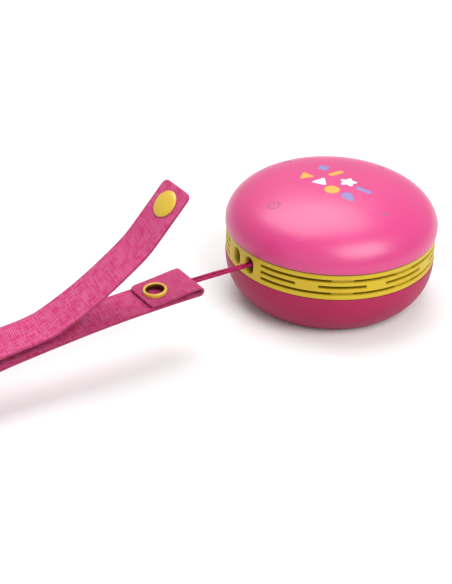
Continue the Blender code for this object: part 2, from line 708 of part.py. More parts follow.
def driver_moving_parts():
    """Voice coil, cone and dust cap, which move together, and the two suspensions that bend with them."""
    count = DRIVER_SEGMENTS
    washer("driver_voice_coil", 6.25 * MM, 6.65 * MM, 7.0 * MM, 14.9 * MM, COPPER, count)
    cone = [(17.6, 22.5), (17.6, 22.0), (7.0, 15.2), (6.6, 15.2), (6.6, 15.7)]
    turned("driver_cone", [(r * MM, z * MM) for r, z in cone], PAPER, True, count)
    cap_radius, cap_low, cap_rise, wall = 7.4 * MM, 16.5 * MM, 1.8 * MM, 0.4 * MM
    angles = [math.pi / 2 * (1 - i / 4) for i in range(5)]
    outer, inner = [
        [((cap_radius - w) * math.cos(a), cap_low + (cap_rise - w) * math.sin(a)) for a in angles[1:]]
        for w in (0, wall)
    ]
    profile = [(0, cap_low + cap_rise), *outer, *inner[::-1], (0, cap_low + cap_rise - wall)]
    turned("driver_dust_cap", profile, PAPER, segments=20)
    driver_surround()
    driver_spider()


def driver_surround():
    """Half-roll rubber edge between the cone and the basket's flange."""
    low, wall = 23.0 * MM, 0.4 * MM
    middle, roll = 19.6 * MM, 1.3 * MM
    inner_edge, outer_edge = 17.2 * MM, 23.6 * MM
    angles = [math.pi * i / 5 for i in range(6)]
    over = [(middle + (roll + wall) * math.cos(a), low + (roll + wall) * math.sin(a)) for a in angles[1:-1]]
    under = [(middle + roll * math.cos(a), low + roll * math.sin(a)) for a in angles]
    foot = [(outer_edge, low + wall), (outer_edge, low)]
    heel = [(inner_edge, low), (inner_edge, low + wall)]
    profile = foot + under + heel + over[::-1]
    turned("driver_surround", profile, BLACK_RUBBER, True, DRIVER_SEGMENTS)


def driver_spider():
    """Corrugated disc that centres the coil."""
    inner, outer, level, wall, wave = 7.0 * MM, 14.2 * MM, 13.4 * MM, 0.3 * MM, 0.4 * MM
    steps = 6
    radii = [outer + (inner - outer) * i / steps for i in range(steps + 1)]
    heights = [level + wave * (i % 2) for i in range(steps + 1)]
    under = list(zip(radii, heights))
    over = [(r, z + wall) for r, z in under]
    turned("driver_spider", [over[0], *under, *over[:0:-1]], PAPER, True, 20)


# ---------------------------------------------------------------- electronics

def cable_hole():
    hole = disc("cable_hole", 1.2 * MM, BAFFLE_LOW - MM, BULKHEAD_TOP + MM, None, 10, True)
    return place(hole, CABLE_AT, 0, PORT_FRAME)


def main_board():
    """Board at the back with the charging socket, the radio module and the amplifier."""
    start, end, half_width = 18 * MM, 38.0 * MM, 9 * MM
    size = (end - start, 2 * half_width, MAIN_BOARD_TOP - MAIN_BOARD_LOW)
    centre = ((start + end) / 2, 0, (MAIN_BOARD_LOW + MAIN_BOARD_TOP) / 2)
    board = place(block("main_board", size, centre, BOARD_GREEN), parent=PORT_FRAME)
    for i, (x, y) in enumerate(BOARD_POSTS):
        hole = disc(f"board_hole_{i + 1}", 1.05 * MM, 8 * MM, 10 * MM, None, 10, True)
        boolean(board, place(hole, (x, y, 0), 0, PORT_FRAME))
    top = MAIN_BOARD_TOP + GAP
    chips = (
        ("radio_module", (8 * MM, 7 * MM, 1.8 * MM), (28 * MM, -4.6 * MM), STEEL),
        ("amplifier_chip", (5 * MM, 5 * MM, MM), (27.4 * MM, 1.6 * MM), DARK_PLASTIC),
    )
    for name, size, (x, y), material in chips:
        place(block(name, size, (x, y, top + size[2] / 2), material), parent=PORT_FRAME)


def board_screws():
    top = MAIN_BOARD_TOP + GAP
    profile = [
        (0, top + 1.2 * MM), (1.8 * MM, top + 1.2 * MM), (1.8 * MM, top), (0.75 * MM, top),
        (0.75 * MM, 4.5 * MM), (0, 4.1 * MM),
    ]
    for i, (x, y) in enumerate(BOARD_POSTS):
        place(turned(f"board_screw_{i + 1}", profile, STEEL, segments=12), (x, y, 0), 0, PORT_FRAME)


def usb_socket():
    """Socket behind the port, open towards it, with a tongue inside."""
    length, width, height, wall = 6.6 * MM, 9.0 * MM, 3.2 * MM, 0.35 * MM
    front = 39.8 * MM
    centre = Vector((front - length / 2, 0, MAIN_BOARD_TOP + GAP + height / 2))
    shell = bevelled(block("usb_socket", (length, width, height), centre, STEEL), 0.8 * MM, 2)
    room = (length, width - 2 * wall, height - 2 * wall)
    forward = Vector((0.6 * MM, 0, 0))
    hollow = block("socket_hollow", room, centre + forward, helper=True)
    tongue = block("socket_tongue", (5 * MM, 6.5 * MM, 0.7 * MM), centre - forward, helper=True)
    boolean(shell, hollow)
    boolean(shell, tongue, "UNION")
    for piece in (shell, hollow, tongue):
        place(piece, parent=PORT_FRAME)


def battery():
    """Cylindrical cell lying across the port's axis, with its raised contact at one end."""
    radius, half, contact = BATTERY_RADIUS, BATTERY_LENGTH / 2, 2.6 * MM
    contact_top, rim = half + 0.8 * MM, 0.6 * MM
    profile = [
        (0, contact_top), (contact, contact_top), (contact, half), (radius - rim, half),
        (radius, half - rim), (radius, rim - half), (radius - rim, -half), (0, -half),
    ]
    cell = turned("battery_cell", profile, CELL_BLUE, segments=24)
    cell.parent = PORT_FRAME
    cell.location = (BATTERY_AT[0], 0, BATTERY_AT[1])
    cell.rotation_euler = (-math.pi / 2, 0, 0)


def wire(name, points, radius, material):
    """A thin lead along a smooth route through the points, in the port's frame, given in millimetres."""
    curve = bpy.data.curves.new(name, "CURVE")
    curve.dimensions = "3D"
    curve.bevel_depth = radius
    curve.bevel_resolution = 1
    curve.use_fill_caps = True
    route = smooth_path([Vector(p) * MM for p in points], 4 * MM)
    spline = curve.splines.new("POLY")
    spline.points.add(len(route) - 1)
    for point, spot in zip(spline.points, route):
        point.co = (*spot, 1)
    return place(link(bpy.data.objects.new(name, curve), material), parent=PORT_FRAME)


def wires():
    near_board = 10.4
    for name, side, material in (("positive", 1, LEAD_RED), ("negative", -1, LEAD_BLACK)):
        start = [(-24.5, 22.2, 12.5), (-22.5, 23.2, 9.5), (-14, 22.0, 6.2), (0, 21.5, 5.5)]
        end = [(11, 18.0, 7.0), (15.2, 11.5, 9.5), (16.6, 6.0, 11.4), (19.6, 2.2, near_board)]
        points = [(x, side * y, z) for x, y, z in start + end]
        wire(f"battery_lead_{name}", points, 0.5 * MM, material)
    speaker = [(17.2, 0, 12.6), (19.0, 0, 12.9), (22, 0.2, 12.2), (23.4, 0.2, near_board)]
    wire("speaker_lead", speaker, 0.5 * MM, LEAD_BLACK)
    x, y, _ = CABLE_AT
    top, low = (BUTTON_BOARD_LOW - GAP) / MM, (MAIN_BOARD_TOP + GAP) / MM
    wire("button_cable", [(x / MM, y / MM, z) for z in (top, 36, 28, 20, 14, low)], 0.8 * MM, LEAD_BLACK)


# ---------------------------------------------------------------- lanyard and strap

def strap_points():
    """The strap's centreline from the end of the tab, round the fold and the loop, to the flap's tip."""
    fold = arc_points(FOLD_CENTRE, FOLD_RADIUS, 90, 270, 7)
    loop = arc_points(LOOP_CENTRE, LOOP_RADIUS, -121, 65, 9)
    return [*TAB_POINTS, *fold, *LEG_POINTS, *loop, *FLAP_POINTS]


def strap_path():
    points = [Vector((s, 0, z)) * MM for s, z in strap_points()]
    return smooth_path(points, 4.5 * MM)


def path_lengths(path):
    lengths = [0.0]
    for start, end in zip(path, path[1:]):
        lengths.append(lengths[-1] + (end - start).length)
    return lengths


def point_at(path, lengths, length):
    """The point on the path at this length along it."""
    for i in range(1, len(path)):
        if lengths[i] >= length:
            share = (length - lengths[i - 1]) / (lengths[i] - lengths[i - 1])
            return path[i - 1].lerp(path[i], share)
    return path[-1].copy()


def flap_length_at(path, lengths, distance):
    """Length along the path where the flap passes this distance out from the hole."""
    for i in range(len(path) - 1, 0, -1):
        if path[i].x <= distance <= path[i - 1].x:
            share = (path[i - 1].x - distance) / (path[i - 1].x - path[i].x)
            return lengths[i - 1] + share * (lengths[i] - lengths[i - 1])
    return lengths[-1]


def corner_width(from_end):
    """Half the strap's width this far from a rounded end."""
    half = STRAP_WIDTH / 2
    if from_end >= STRAP_CORNER:
        return half
    return half - STRAP_CORNER + math.sqrt(STRAP_CORNER ** 2 - (STRAP_CORNER - from_end) ** 2)


def strap_piece(name, path, lengths, start, end, round_start=False, round_end=False):
    """A length of the strap as an open ribbon along the path, thickened."""
    stations = [start] + [v for v in lengths if start + 0.6 * MM < v < end - 0.6 * MM] + [end]
    corner_steps = [STRAP_CORNER * k for k in (0.04, 0.2, 0.5, 1.0)]
    if round_start:
        straight = [v for v in stations if v > start + 1.2 * STRAP_CORNER]
        stations = [start] + [start + k for k in corner_steps] + straight
    if round_end:
        stations = [v for v in stations if v < end - 1.2 * STRAP_CORNER]
        stations += [end - k for k in reversed(corner_steps)] + [end]
    vertices = []
    for station in stations:
        half = STRAP_WIDTH / 2
        if round_start:
            half = min(half, corner_width(station - start))
        if round_end:
            half = min(half, corner_width(end - station))
        spot = point_at(path, lengths, station)
        vertices += [(spot.x, -half, spot.z), (spot.x, half, spot.z)]
    faces = [(2 * i, 2 * i + 1, 2 * i + 3, 2 * i + 2) for i in range(len(stations) - 1)]
    mesh = bpy.data.meshes.new(name)
    mesh.from_pydata(vertices, [], faces)
    obj = place(link(bpy.data.objects.new(name, mesh), STRAP_PINK), parent=STRAP_FRAME)
    thick = obj.modifiers.new("thickness", "SOLIDIFY")
    thick.thickness = STRAP_THICKNESS
    thick.offset = 0
    thick.use_even_offset = True
    return obj


def strap():
    """The folded tab, lower leg and loop in one piece, and the flap in pieces that hinge on each other."""
    path = strap_path()
    lengths = path_lengths(path)
    hinges = [flap_length_at(path, lengths, distance * MM) for distance in FLAP_HINGES]
    main = strap_piece("strap_main", path, lengths, 0, hinges[0] - HINGE_HALF_GAP, round_start=True)
    boolean(main, cord_slot())
    boolean(main, snap_hole("socket_hole", SOCKET_AT, socket_tilt()))
    for i, start in enumerate(hinges):
        last = i == len(hinges) - 1
        end = lengths[-1] if last else hinges[i + 1] - HINGE_HALF_GAP
        name = f"strap_flap_{i + 1}"
        piece = strap_piece(name, path, lengths, start + HINGE_HALF_GAP, end, round_end=last)
        move_origin(piece, point_at(path, lengths, start))
        if last:
            spot, tilt = flap_snap_place()
            boolean(piece, snap_hole("flap_hole", (spot.x / MM, spot.z / MM), tilt))
    move_origin(main, fold_centre())


def fold_centre():
    """Axis of the fold, where the cord's toggle lies and the strap pivots."""
    return Vector((FOLD_CENTRE[0], 0, FOLD_CENTRE[1])) * MM


def cord_slot():
    """Notch in the end of the fold, high enough for the cord when the strap is lifted."""
    front, back, low, top = -2.6 * MM, -0.5 * MM, -0.85 * MM, 1.5 * MM
    size = (back - front, 3.4 * MM, top - low)
    centre = fold_centre() + Vector(((front + back) / 2, 0, (low + top) / 2))
    return place(block("cord_slot", size, centre, helper=True), parent=STRAP_FRAME)


def socket_tilt():
    """Lean of the tab under the socket, about the strap's width."""
    (s1, z1), (s2, z2) = TAB_POINTS[0], TAB_POINTS[2]
    return math.atan2(z2 - z1, s1 - s2)


def flap_snap_place():
    """Centre and lean of the flap where the cap sits."""
    path = strap_path()
    lengths = path_lengths(path)
    along = flap_length_at(path, lengths, SNAP_ON_FLAP * MM)
    spot = point_at(path, lengths, along)
    ahead = point_at(path, lengths, along + MM) - point_at(path, lengths, along - MM)
    return spot, math.atan2(ahead.z, -ahead.x)


def snap_hole(name, at, tilt):
    hole = disc(name, 2.3 * MM, -5 * MM, 5 * MM, None, 10, True)
    return snap_place(hole, Vector((at[0], 0, at[1])) * MM, tilt)


def snap_place(obj, spot, tilt):
    """Stands a snap piece on the strap, its axis square to the strap there."""
    obj.parent = STRAP_FRAME
    obj.location = spot
    obj.rotation_euler = (0, tilt, 0)
    return obj


def snap_fastener():
    """Socket and rivet through the tab; cap and stud through the flap. Heights are from the strap's face."""
    face = STRAP_THICKNESS / 2
    tab_face = Vector((SOCKET_AT[0], 0, SOCKET_AT[1])) * MM
    floor, rim = GAP + 0.4 * MM, 1.5 * MM
    socket = [
        (SOCKET_RADIUS, rim - 0.2 * MM), (SOCKET_RADIUS, GAP), (2.3 * MM, GAP), (2.3 * MM, floor),
        (SOCKET_BORE, floor), (SOCKET_BORE, rim), (SOCKET_RADIUS - 0.2 * MM, rim),
    ]
    snap_place(turned("snap_socket", socket, SNAP_YELLOW, True, 24), tab_face, socket_tilt())
    back = -3.35 * MM  # under the tab's lower layer, which leans a little the other way
    shank, head = 1.95 * MM, 4.6 * MM
    rivet = [
        (0, floor), (shank, floor), (shank, back), (head - 0.8 * MM, back), (head, back - 0.4 * MM),
        (head - 0.8 * MM, back - 0.8 * MM), (0, back - 0.9 * MM),
    ]
    snap_place(turned("snap_rivet", rivet, SNAP_YELLOW, segments=20), tab_face, socket_tilt())
    spot, tilt = flap_snap_place()
    rise, base, shank_end = 1.2 * MM, face + GAP, -0.1 * MM
    edge = base + 0.3 * MM
    angles = [math.pi / 2 * (1 - i / 4) for i in range(5)]
    dome = [(CAP_RADIUS * math.cos(a), edge + rise * math.sin(a)) for a in angles[1:]]
    cap = [(0, edge + rise), *dome, (CAP_RADIUS, base), (shank, base), (shank, shank_end), (0, shank_end)]
    snap_place(turned("snap_cap", cap, SNAP_YELLOW, segments=24), spot, tilt)
    flange, stem, depth = 4.6 * MM, 2.9 * MM, 0.9 * MM
    under = -face - GAP
    stud = [
        (0, -0.4 * MM), (shank, -0.4 * MM), (shank, under), (flange, under), (flange, under - 0.6 * MM),
        (stem, under - 0.6 * MM), (stem, under - 0.6 * MM - depth), (0, under - 0.6 * MM - depth),
    ]
    snap_place(turned("snap_stud", stud, SNAP_YELLOW, segments=20), spot, tilt)


def cord_route():
    """The loop's middle line from the toggle to the pin: (distance out, sideways) in mm."""
    start = (FOLD_CENTRE[0] - (TOGGLE_RADIUS + GAP) / MM, 0.0)
    return [start, (22.0, 0.0), (15.5, 0.05), (9.0, 0.25), (4.0, 0.45), (1.0, 0.35), (-1.5, 0.0)]


def pin_in_strap_frame():
    pin = Vector(polar(BAND_RADIUS - PIN_DEPTH, HOLE_ANGLES[1]))
    return Matrix.Rotation(-STRAP_ANGLE, 3, "Z") @ (pin - EXIT_POINT)


def lanyard_cord():
    """The loop: out along one side of the route, round the pin, and back along the other."""
    pin = pin_in_strap_frame() / MM
    half = STRAND_SPACING / 2 / MM
    turn = (PIN_RADIUS + GAP + CORD_RADIUS) / MM
    route = cord_route()
    spread = [half] * (len(route) - 1) + [half + 0.5]
    left = [Vector((s, y + gap, 0)) for (s, y), gap in zip(route, spread)]
    right = [Vector((s, y - gap, 0)) for (s, y), gap in zip(route, spread)]
    round_pin = [
        pin + turn * Vector((math.cos(math.radians(a)), math.sin(math.radians(a)), 0))
        for a in (80, 110, 145, 180, 215, 250, 280)
    ]
    points = [Vector((p.x, p.y, CORD_LEVEL / MM)) * MM for p in left + round_pin + right[::-1]]
    curve = bpy.data.curves.new("lanyard_cord", "CURVE")
    curve.dimensions = "3D"
    curve.bevel_depth = CORD_RADIUS
    curve.bevel_resolution = 2
    curve.use_fill_caps = True
    spline = curve.splines.new("POLY")
    route = smooth_path(points, 2.6 * MM)
    spline.points.add(len(route) - 1)
    for point, spot in zip(spline.points, route):
        point.co = (*spot, 1)
    return place(link(bpy.data.objects.new("lanyard_cord", curve), CORD_RED), parent=STRAP_FRAME)


def cord_toggle():
    """Small crossbar on the cord's ends, held in the tab's fold."""
    half = TOGGLE_LENGTH / 2
    toggle = disc("cord_toggle", TOGGLE_RADIUS, -half, half, STEEL, 10)
    toggle.parent = STRAP_FRAME
    toggle.location = fold_centre()
    toggle.rotation_euler = (math.pi / 2, 0, 0)
    return toggle


# ---------------------------------------------------------------- assembly

def build():
    top_skin()
    top_cap()
    buttons()
    button_board()
    switches()
    upper_bulkhead()
    seals()
    grille_band()
    grille_mesh()
    lanyard_pin()
    bottom_shell()
    foot_pad()
    case_screws()
    port_cover()
    baffle()
    driver_frame()
    driver_moving_parts()
    main_board()
    board_screws()
    usb_socket()
    battery()
    wires()
    strap()
    snap_fastener()
    lanyard_cord()
    cord_toggle()


build()
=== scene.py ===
"""Looks for the shower speaker: camera, light, materials and the detailed pieces that replace plain ones.

Everything is in metres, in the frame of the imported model. The lanyard and the strap are laid out in a
vertical plane that leaves the right-hand lanyard hole: s runs out from the band, off sideways, z up.
"""

import json
import math

import bmesh
import bpy
import numpy as np
from mathutils import Matrix, Vector


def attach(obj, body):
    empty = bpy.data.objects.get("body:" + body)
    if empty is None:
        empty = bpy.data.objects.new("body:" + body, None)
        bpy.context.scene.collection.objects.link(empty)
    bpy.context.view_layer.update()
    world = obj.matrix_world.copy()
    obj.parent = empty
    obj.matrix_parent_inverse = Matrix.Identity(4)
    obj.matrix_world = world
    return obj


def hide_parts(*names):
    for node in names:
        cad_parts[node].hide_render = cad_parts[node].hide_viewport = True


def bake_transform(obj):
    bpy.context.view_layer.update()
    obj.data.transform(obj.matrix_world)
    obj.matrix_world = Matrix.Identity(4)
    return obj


MM = 0.001

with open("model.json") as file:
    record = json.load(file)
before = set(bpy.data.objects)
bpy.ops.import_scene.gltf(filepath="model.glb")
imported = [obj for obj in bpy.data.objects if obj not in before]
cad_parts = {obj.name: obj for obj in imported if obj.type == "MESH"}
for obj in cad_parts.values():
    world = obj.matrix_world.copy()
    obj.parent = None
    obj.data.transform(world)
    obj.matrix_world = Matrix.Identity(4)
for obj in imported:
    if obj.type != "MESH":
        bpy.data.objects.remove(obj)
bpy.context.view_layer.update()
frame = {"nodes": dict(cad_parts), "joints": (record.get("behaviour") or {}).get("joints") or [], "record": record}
JOINTS = {joint["name"]: joint for joint in frame["joints"]}

# ---------------------------------------------------------------- sizes shared with the CAD model

BODY_RADIUS = 46 * MM
UPPER_WAIST = 31.3 * MM
UPPER_RISE = 21.96 * MM
UPPER_POWERS = (2 / 2.438, 2 / 2.553)
LOWER_WAIST = 20.75 * MM
LOWER_RADIUS = 45.23 * MM
LOWER_DROP = 28.06 * MM
LOWER_POWERS = (2 / 2.381, 2 / 2.356)
LANYARD_AXIS = math.radians(212)
PORT_AXIS = math.radians(32)
BAND_RADIUS = 45.1 * MM
BAND_BASE = 20.84 * MM
BAND_TOP = 32.62 * MM
HOLE_ANGLES = [math.radians(a) for a in (206.6, 218.6)]
HOLE_SIZE = (5.2 * MM, 7.4 * MM)
HOLE_LEVEL = 26.5 * MM
HOLE_WALL = 2.7 * MM
SLOT_LEVELS = [z * MM for z in (23.55, 26.5, 29.45)]
SLOT_HEIGHT = 1.4 * MM
PORT_LEVEL = 11.5 * MM
PORT_SIZE = (11.4 * MM, 6.4 * MM)
PORT_RADIUS = 43.6 * MM
PORT_FRAME_BACK = 41.3 * MM
COVER_SIZE = (18.7 * MM, 9.4 * MM)
COVER_SHIFT = -1.0 * MM
COVER_HINGE = -6.85 * MM
SCREW_CIRCLE = 31 * MM
SCREW_ANGLES = [PORT_AXIS + math.radians(a) for a in (66, 114, 246, 294)]

# The band's slots, in degrees from the lanyard's axis.
SLOT_FIRST = 15.3
SLOT_PITCH = 37.0
SLOT_CENTRE = 62.2
SLOT_HALF = 13.0
BRIDGE_HALF = 5.9
REAR_HALF = 20.0

STRAP_WIDTH = 19.0 * MM
STRAP_THICKNESS = 1.0 * MM
STRAP_CORNER = 2.8 * MM
# The strap's centreline in four stretches, as (s, z) in millimetres.
TAB_POINTS = ((52.3, 26.5), (45.5, 27.0), (38.0, 27.8), (32.5, 28.45))
FOLD_CENTRE, FOLD_RADIUS = (29.7, 27.1), 1.5
LEG_POINTS = (
    (34, 25.55), (42, 25.4), (52, 25.1), (64, 24.65), (78, 23.7), (92, 22.4),
    (106, 20.9), (120, 19.1), (134, 16.2), (148, 11.7), (158, 6.7),
)
LOOP_CENTRE, LOOP_RADIUS = (170.0, 6.4), 5.9
FLAP_POINTS = (
    (166, 14.3), (158, 17.2), (148, 20.0), (134, 22.5), (120, 24.2), (110, 25.4), (101, 26.3),
    (95, 27.5), (89, 29.9), (82, 33.2), (74, 37.5), (64.4, 43.6), (54, 51.2), (44, 61.8), (34.9, 71.9),
)
SOCKET_AT = (45.5, 27.5)
SOCKET_BORE = 3.9 * MM
SNAP_ON_FLAP = 40.6 * MM
CORD_RADIUS = 0.6 * MM
CORD_LEVEL = 27.1 * MM
STRAND_SPACING = 1.5 * MM
PIN_RADIUS = 0.8 * MM

# Thread pitch of the webbing as a wave texture's scale: one wave is 2 pi / 20 units long.
THREAD = 2 * math.pi / 20 / (0.9 * MM)
WEFT_SKEW = -math.tan(math.radians(10))

YELLOW = (0.48, 0.335, 0.010)
# How far printed shapes reach down into the dome's skin.
PRINT_FOOT = -0.25 * MM

# The strap's plane, from the hinge in the tab's fold.
UP = Vector((0, 0, 1))
FOLD = Vector(JOINTS["strap_lift"]["pos_m"])
SIDEWAYS = -Vector(JOINTS["strap_lift"]["axis"])
OUTWARDS = UP.cross(-SIDEWAYS)
EXIT = Vector((FOLD.x, FOLD.y, 0)) - OUTWARDS * FOLD_CENTRE[0] * MM
PIN = Vector(JOINTS["lanyard_swing"]["pos_m"])


def in_strap_plane(s, off, z):
    return EXIT + OUTWARDS * s + SIDEWAYS * off + UP * z


# ---------------------------------------------------------------- camera

CAMERA_AT = Vector((-44.33, -611.35, 355.83)) * MM
CAMERA_PITCH = math.radians(30.43)
CAMERA_ROLL = math.radians(1.744)
CAMERA_LENS = 98.89


def camera():
    forward = Vector((0, math.cos(CAMERA_PITCH), -math.sin(CAMERA_PITCH)))
    right = Vector((1, 0, 0))
    up = right.cross(forward)
    turned_right = right * math.cos(CAMERA_ROLL) + up * math.sin(CAMERA_ROLL)
    turned_up = up * math.cos(CAMERA_ROLL) - right * math.sin(CAMERA_ROLL)
    data = bpy.data.cameras.new("camera")
    data.lens = CAMERA_LENS
    data.sensor_width = 36
    data.clip_start = 0.01
    obj = bpy.data.objects.new("camera", data)
    rotation = Matrix((turned_right, turned_up, -forward)).transposed()
    obj.matrix_world = Matrix.Translation(CAMERA_AT) @ rotation.to_4x4()
    bpy.context.scene.collection.objects.link(obj)
    bpy.context.scene.camera = obj


# ---------------------------------------------------------------- node graphs

class Surface:
    """A Principled material and short calls to build its nodes."""

    def __init__(self, name, roughness=0.5, metallic=0.0, specular=0.5):
        self.material = bpy.data.materials.new(name)
        self.material.use_nodes = True
        self.tree = self.material.node_tree
        self.shader = self.tree.nodes["Principled BSDF"]
        self.feed(self.shader, "Roughness", roughness)
        self.feed(self.shader, "Metallic", metallic)
        self.feed(self.shader, "Specular IOR Level", specular)
        self.place = self.tree.nodes.new("ShaderNodeTexCoord").outputs["Object"]

    def link(self, socket, output):
        self.tree.links.new(output, self.shader.inputs[socket])

    def colour(self, output):
        self.link("Base Color", output)

    def feed(self, node, socket, value):
        """Links another node's output to a socket, or sets the socket itself."""
        if isinstance(value, bpy.types.NodeSocket):
            self.tree.links.new(value, node.inputs[socket])
        elif value is not None:
            node.inputs[socket].default_value = value

    def node(self, kind, output, inputs, **settings):
        """Adds a node with these settings and inputs, and gives one of its outputs."""
        node = self.tree.nodes.new("ShaderNode" + kind)
        for name, value in settings.items():
            setattr(node, name, value)
        for socket, value in inputs.items():
            self.feed(node, socket, value)
        return node.outputs[output]

    def scaled(self, vector, scale):
        return self.node("Mapping", "Vector", {"Vector": vector, "Scale": scale})

    def uv(self, name):
        return self.node("UVMap", "UV", {}, uv_map=name)

    def axis(self, vector, name):
        return self.node("SeparateXYZ", name, {"Vector": vector})

    def noise(self, scale, vector=None, detail=2.0, roughness=0.5):
        inputs = {"Vector": vector or self.place, "Scale": scale, "Detail": detail, "Roughness": roughness}
        return self.node("TexNoise", "Fac", inputs)

    def wave(self, vector, direction):
        inputs = {"Vector": vector, "Scale": 1.0, "Distortion": 0.5, "Detail": 1.0}
        return self.node("TexWave", "Fac", inputs, bands_direction=direction)

    def math(self, operation, a, b=None):
        return self.node("Math", 0, {0: a, 1: b}, operation=operation)

    def between(self, value, low, high, to_low=0.0, to_high=1.0):
        inputs = {"Value": value, "From Min": low, "From Max": high, "To Min": to_low, "To Max": to_high}
        return self.node("MapRange", "Result", inputs)

    def mix(self, factor, a, b):
        """Blends two colours; each is an output or a plain (red, green, blue)."""
        a, b = (value if isinstance(value, bpy.types.NodeSocket) else (*value, 1.0) for value in (a, b))
        return self.node("Mix", 2, {0: factor, 6: a, 7: b}, data_type="RGBA")

    def bump(self, height, depth, strength=1.0):
        inputs = {"Strength": strength, "Distance": depth, "Height": height}
        self.link("Normal", self.node("Bump", "Normal", inputs))


def shaded(colour, share):
    return tuple(c * share for c in colour)


def moulded(
    name, colour, roughness, grain=0.35 * MM, depth=0.01 * MM, spread=0.06, tone=0.07, specular=0.5
):
    """Moulded plastic or coated surface: fine grain, and slow changes in tone and gloss."""
    surface = Surface(name, roughness, specular=specular)
    slow = surface.noise(35.0, detail=3.0)
    fine = surface.noise(1 / grain)
    darker, lighter = shaded(colour, 1 - tone), shaded(colour, 1 + tone)
    surface.colour(surface.mix(surface.between(slow, 0.3, 0.7), darker, lighter))
    gloss = surface.math("ADD", surface.math("MULTIPLY", slow, 0.6), surface.math("MULTIPLY", fine, 0.4))
    surface.link("Roughness", surface.between(gloss, 0.3, 0.7, roughness - spread, roughness + spread))
    surface.bump(fine, depth)
    return surface


def paint_seam_and_slot_shade(surface, colour):
    """Paints shade on the band along its seams with the shells and down in its slots."""
    height = surface.axis(surface.place, "Z")
    seams = surface.math(
        "MAXIMUM",
        surface.between(height, BAND_TOP - 0.8 * MM, BAND_TOP - 0.2 * MM, 0.0, 0.95),
        surface.between(height, BAND_BASE + 0.1 * MM, BAND_BASE + 0.5 * MM, 0.5, 0.0),
    )
    sides = [surface.axis(surface.place, name) for name in ("X", "Y")]
    squares = [surface.math("MULTIPLY", side, side) for side in sides]
    radius = surface.math("SQRT", surface.math("ADD", *squares))
    recesses = surface.between(radius, BAND_RADIUS - 1.5 * MM, BAND_RADIUS - 0.2 * MM, 0.62, 0.0)
    unshaded = surface.shader.inputs["Base Color"].links[0].from_socket
    surface.colour(surface.mix(surface.math("MAXIMUM", seams, recesses), unshaded, shaded(colour, 0.22)))
    return surface


def metal(name, colour, roughness):
    """Plated metal with fine scratches."""
    surface = Surface(name, roughness, 1.0)
    scratches = surface.noise(300.0, surface.scaled(surface.place, (1, 1, 14)), detail=4.0)
    surface.colour(surface.mix(surface.between(scratches, 0.35, 0.65), shaded(colour, 0.85), colour))
    surface.link("Roughness", surface.between(scratches, 0.3, 0.7, roughness * 0.7, roughness * 1.4))
    surface.bump(scratches, 0.004 * MM)
    return surface


def woven(name, light, base, crimson, uv, tab_shade=0.0):
    """Melange webbing in a fine plain weave, with pale and crimson lengths of thread both ways.

    Painted shade darkens it along its edges and, as far as asked, on the tab by the fold.
    """
    surface = Surface(name, 0.88, specular=0.2)
    cloth = skewed(surface, surface.uv(uv))
    across = surface.noise(1.0, surface.scaled(cloth, (1250, 150, 1)), roughness=0.6)
    along = surface.noise(1.0, surface.scaled(cloth, (150, 1200, 1)), roughness=0.6)
    patch = surface.noise(1.0, surface.scaled(cloth, (210, 240, 1)), roughness=0.6)
    colour = surface.mix(surface.between(patch, 0.44, 0.56, 0.0, 0.7), light, base)
    colour = surface.mix(surface.between(along, 0.52, 0.58, 0.0, 0.85), colour, crimson)
    colour = surface.mix(surface.between(across, 0.54, 0.60, 0.0, 0.8), colour, crimson)
    colour = surface.mix(surface.between(across, 0.38, 0.45, 0.8, 0.0), colour, light)
    colour = surface.mix(surface.between(along, 0.36, 0.44, 0.7, 0.0), colour, light)
    threads = surface.scaled(cloth, (THREAD, THREAD, 1))
    crossings = surface.math("MULTIPLY", surface.wave(threads, "Y"), surface.wave(threads, "X"))
    shade = shaded(base, 0.35)
    colour = surface.mix(surface.between(crossings, 0.0, 0.5, 0.7, 0.0), colour, shade)
    from_fold = surface.axis(surface.uv(uv), "X")
    from_middle = surface.math("ABSOLUTE", surface.axis(surface.uv(uv), "Y"))
    edge = STRAP_WIDTH / 2
    # Painted shade: a dark line along each edge of the strap.
    edge_shade = surface.between(from_middle, edge - 0.7 * MM, edge - 0.1 * MM, 0.0, 0.75)
    # Painted shade on the tab, as strong as asked for.
    tab_shadow = surface.between(from_fold, 22 * MM, 27 * MM, tab_shade, 0.0)
    surface.colour(surface.mix(surface.math("MAXIMUM", edge_shade, tab_shadow), colour, shade))
    slubs = surface.math("MULTIPLY", surface.math("ADD", across, along), 0.3)
    surface.bump(surface.math("ADD", surface.math("MULTIPLY", crossings, 0.9), slubs), 0.12 * MM, 0.8)
    return surface


def skewed(surface, cloth):
    """The cloth's own coordinates, with its cross threads leaning by the skew."""
    along, across = surface.axis(cloth, "X"), surface.axis(cloth, "Y")
    lean = surface.math("MULTIPLY", across, WEFT_SKEW)
    return surface.node("CombineXYZ", "Vector", {"X": surface.math("ADD", along, lean), "Y": across})


def braided(name, light, dark, uv):
    """Waxed two-ply cord: the plies are in the mesh, and these are its fibres."""
    surface = Surface(name, 0.45, specular=0.15)
    cloth = surface.uv(uv)
    fibre = surface.noise(1.0, surface.scaled(cloth, (500, 14, 1)), detail=3.0)
    surface.colour(surface.mix(surface.between(fibre, 0.38, 0.66), dark, light))
    surface.bump(fibre, 0.08 * MM)
    return surface


def mesh_fabric(name):
    """Black open cloth behind the slots."""
    surface = Surface(name, 0.85, specular=0.3)
    fibre = surface.noise(2500.0)
    dark, pale = (0.006, 0.006, 0.007), (0.05, 0.05, 0.052)
    surface.colour(surface.mix(surface.between(fibre, 0.35, 0.65), dark, pale))
    surface.bump(fibre, 0.06 * MM)
    return surface


# ---------------------------------------------------------------- mesh helpers

# Lengths below this, in metres, count as nothing.
TINY = 1e-7


def new_object(name, mesh, surface):
    obj = bpy.data.objects.new(name, mesh)
    bpy.context.scene.collection.objects.link(obj)
    if surface:
        mesh.materials.append(surface.material)
    mesh.shade_smooth()
    return obj


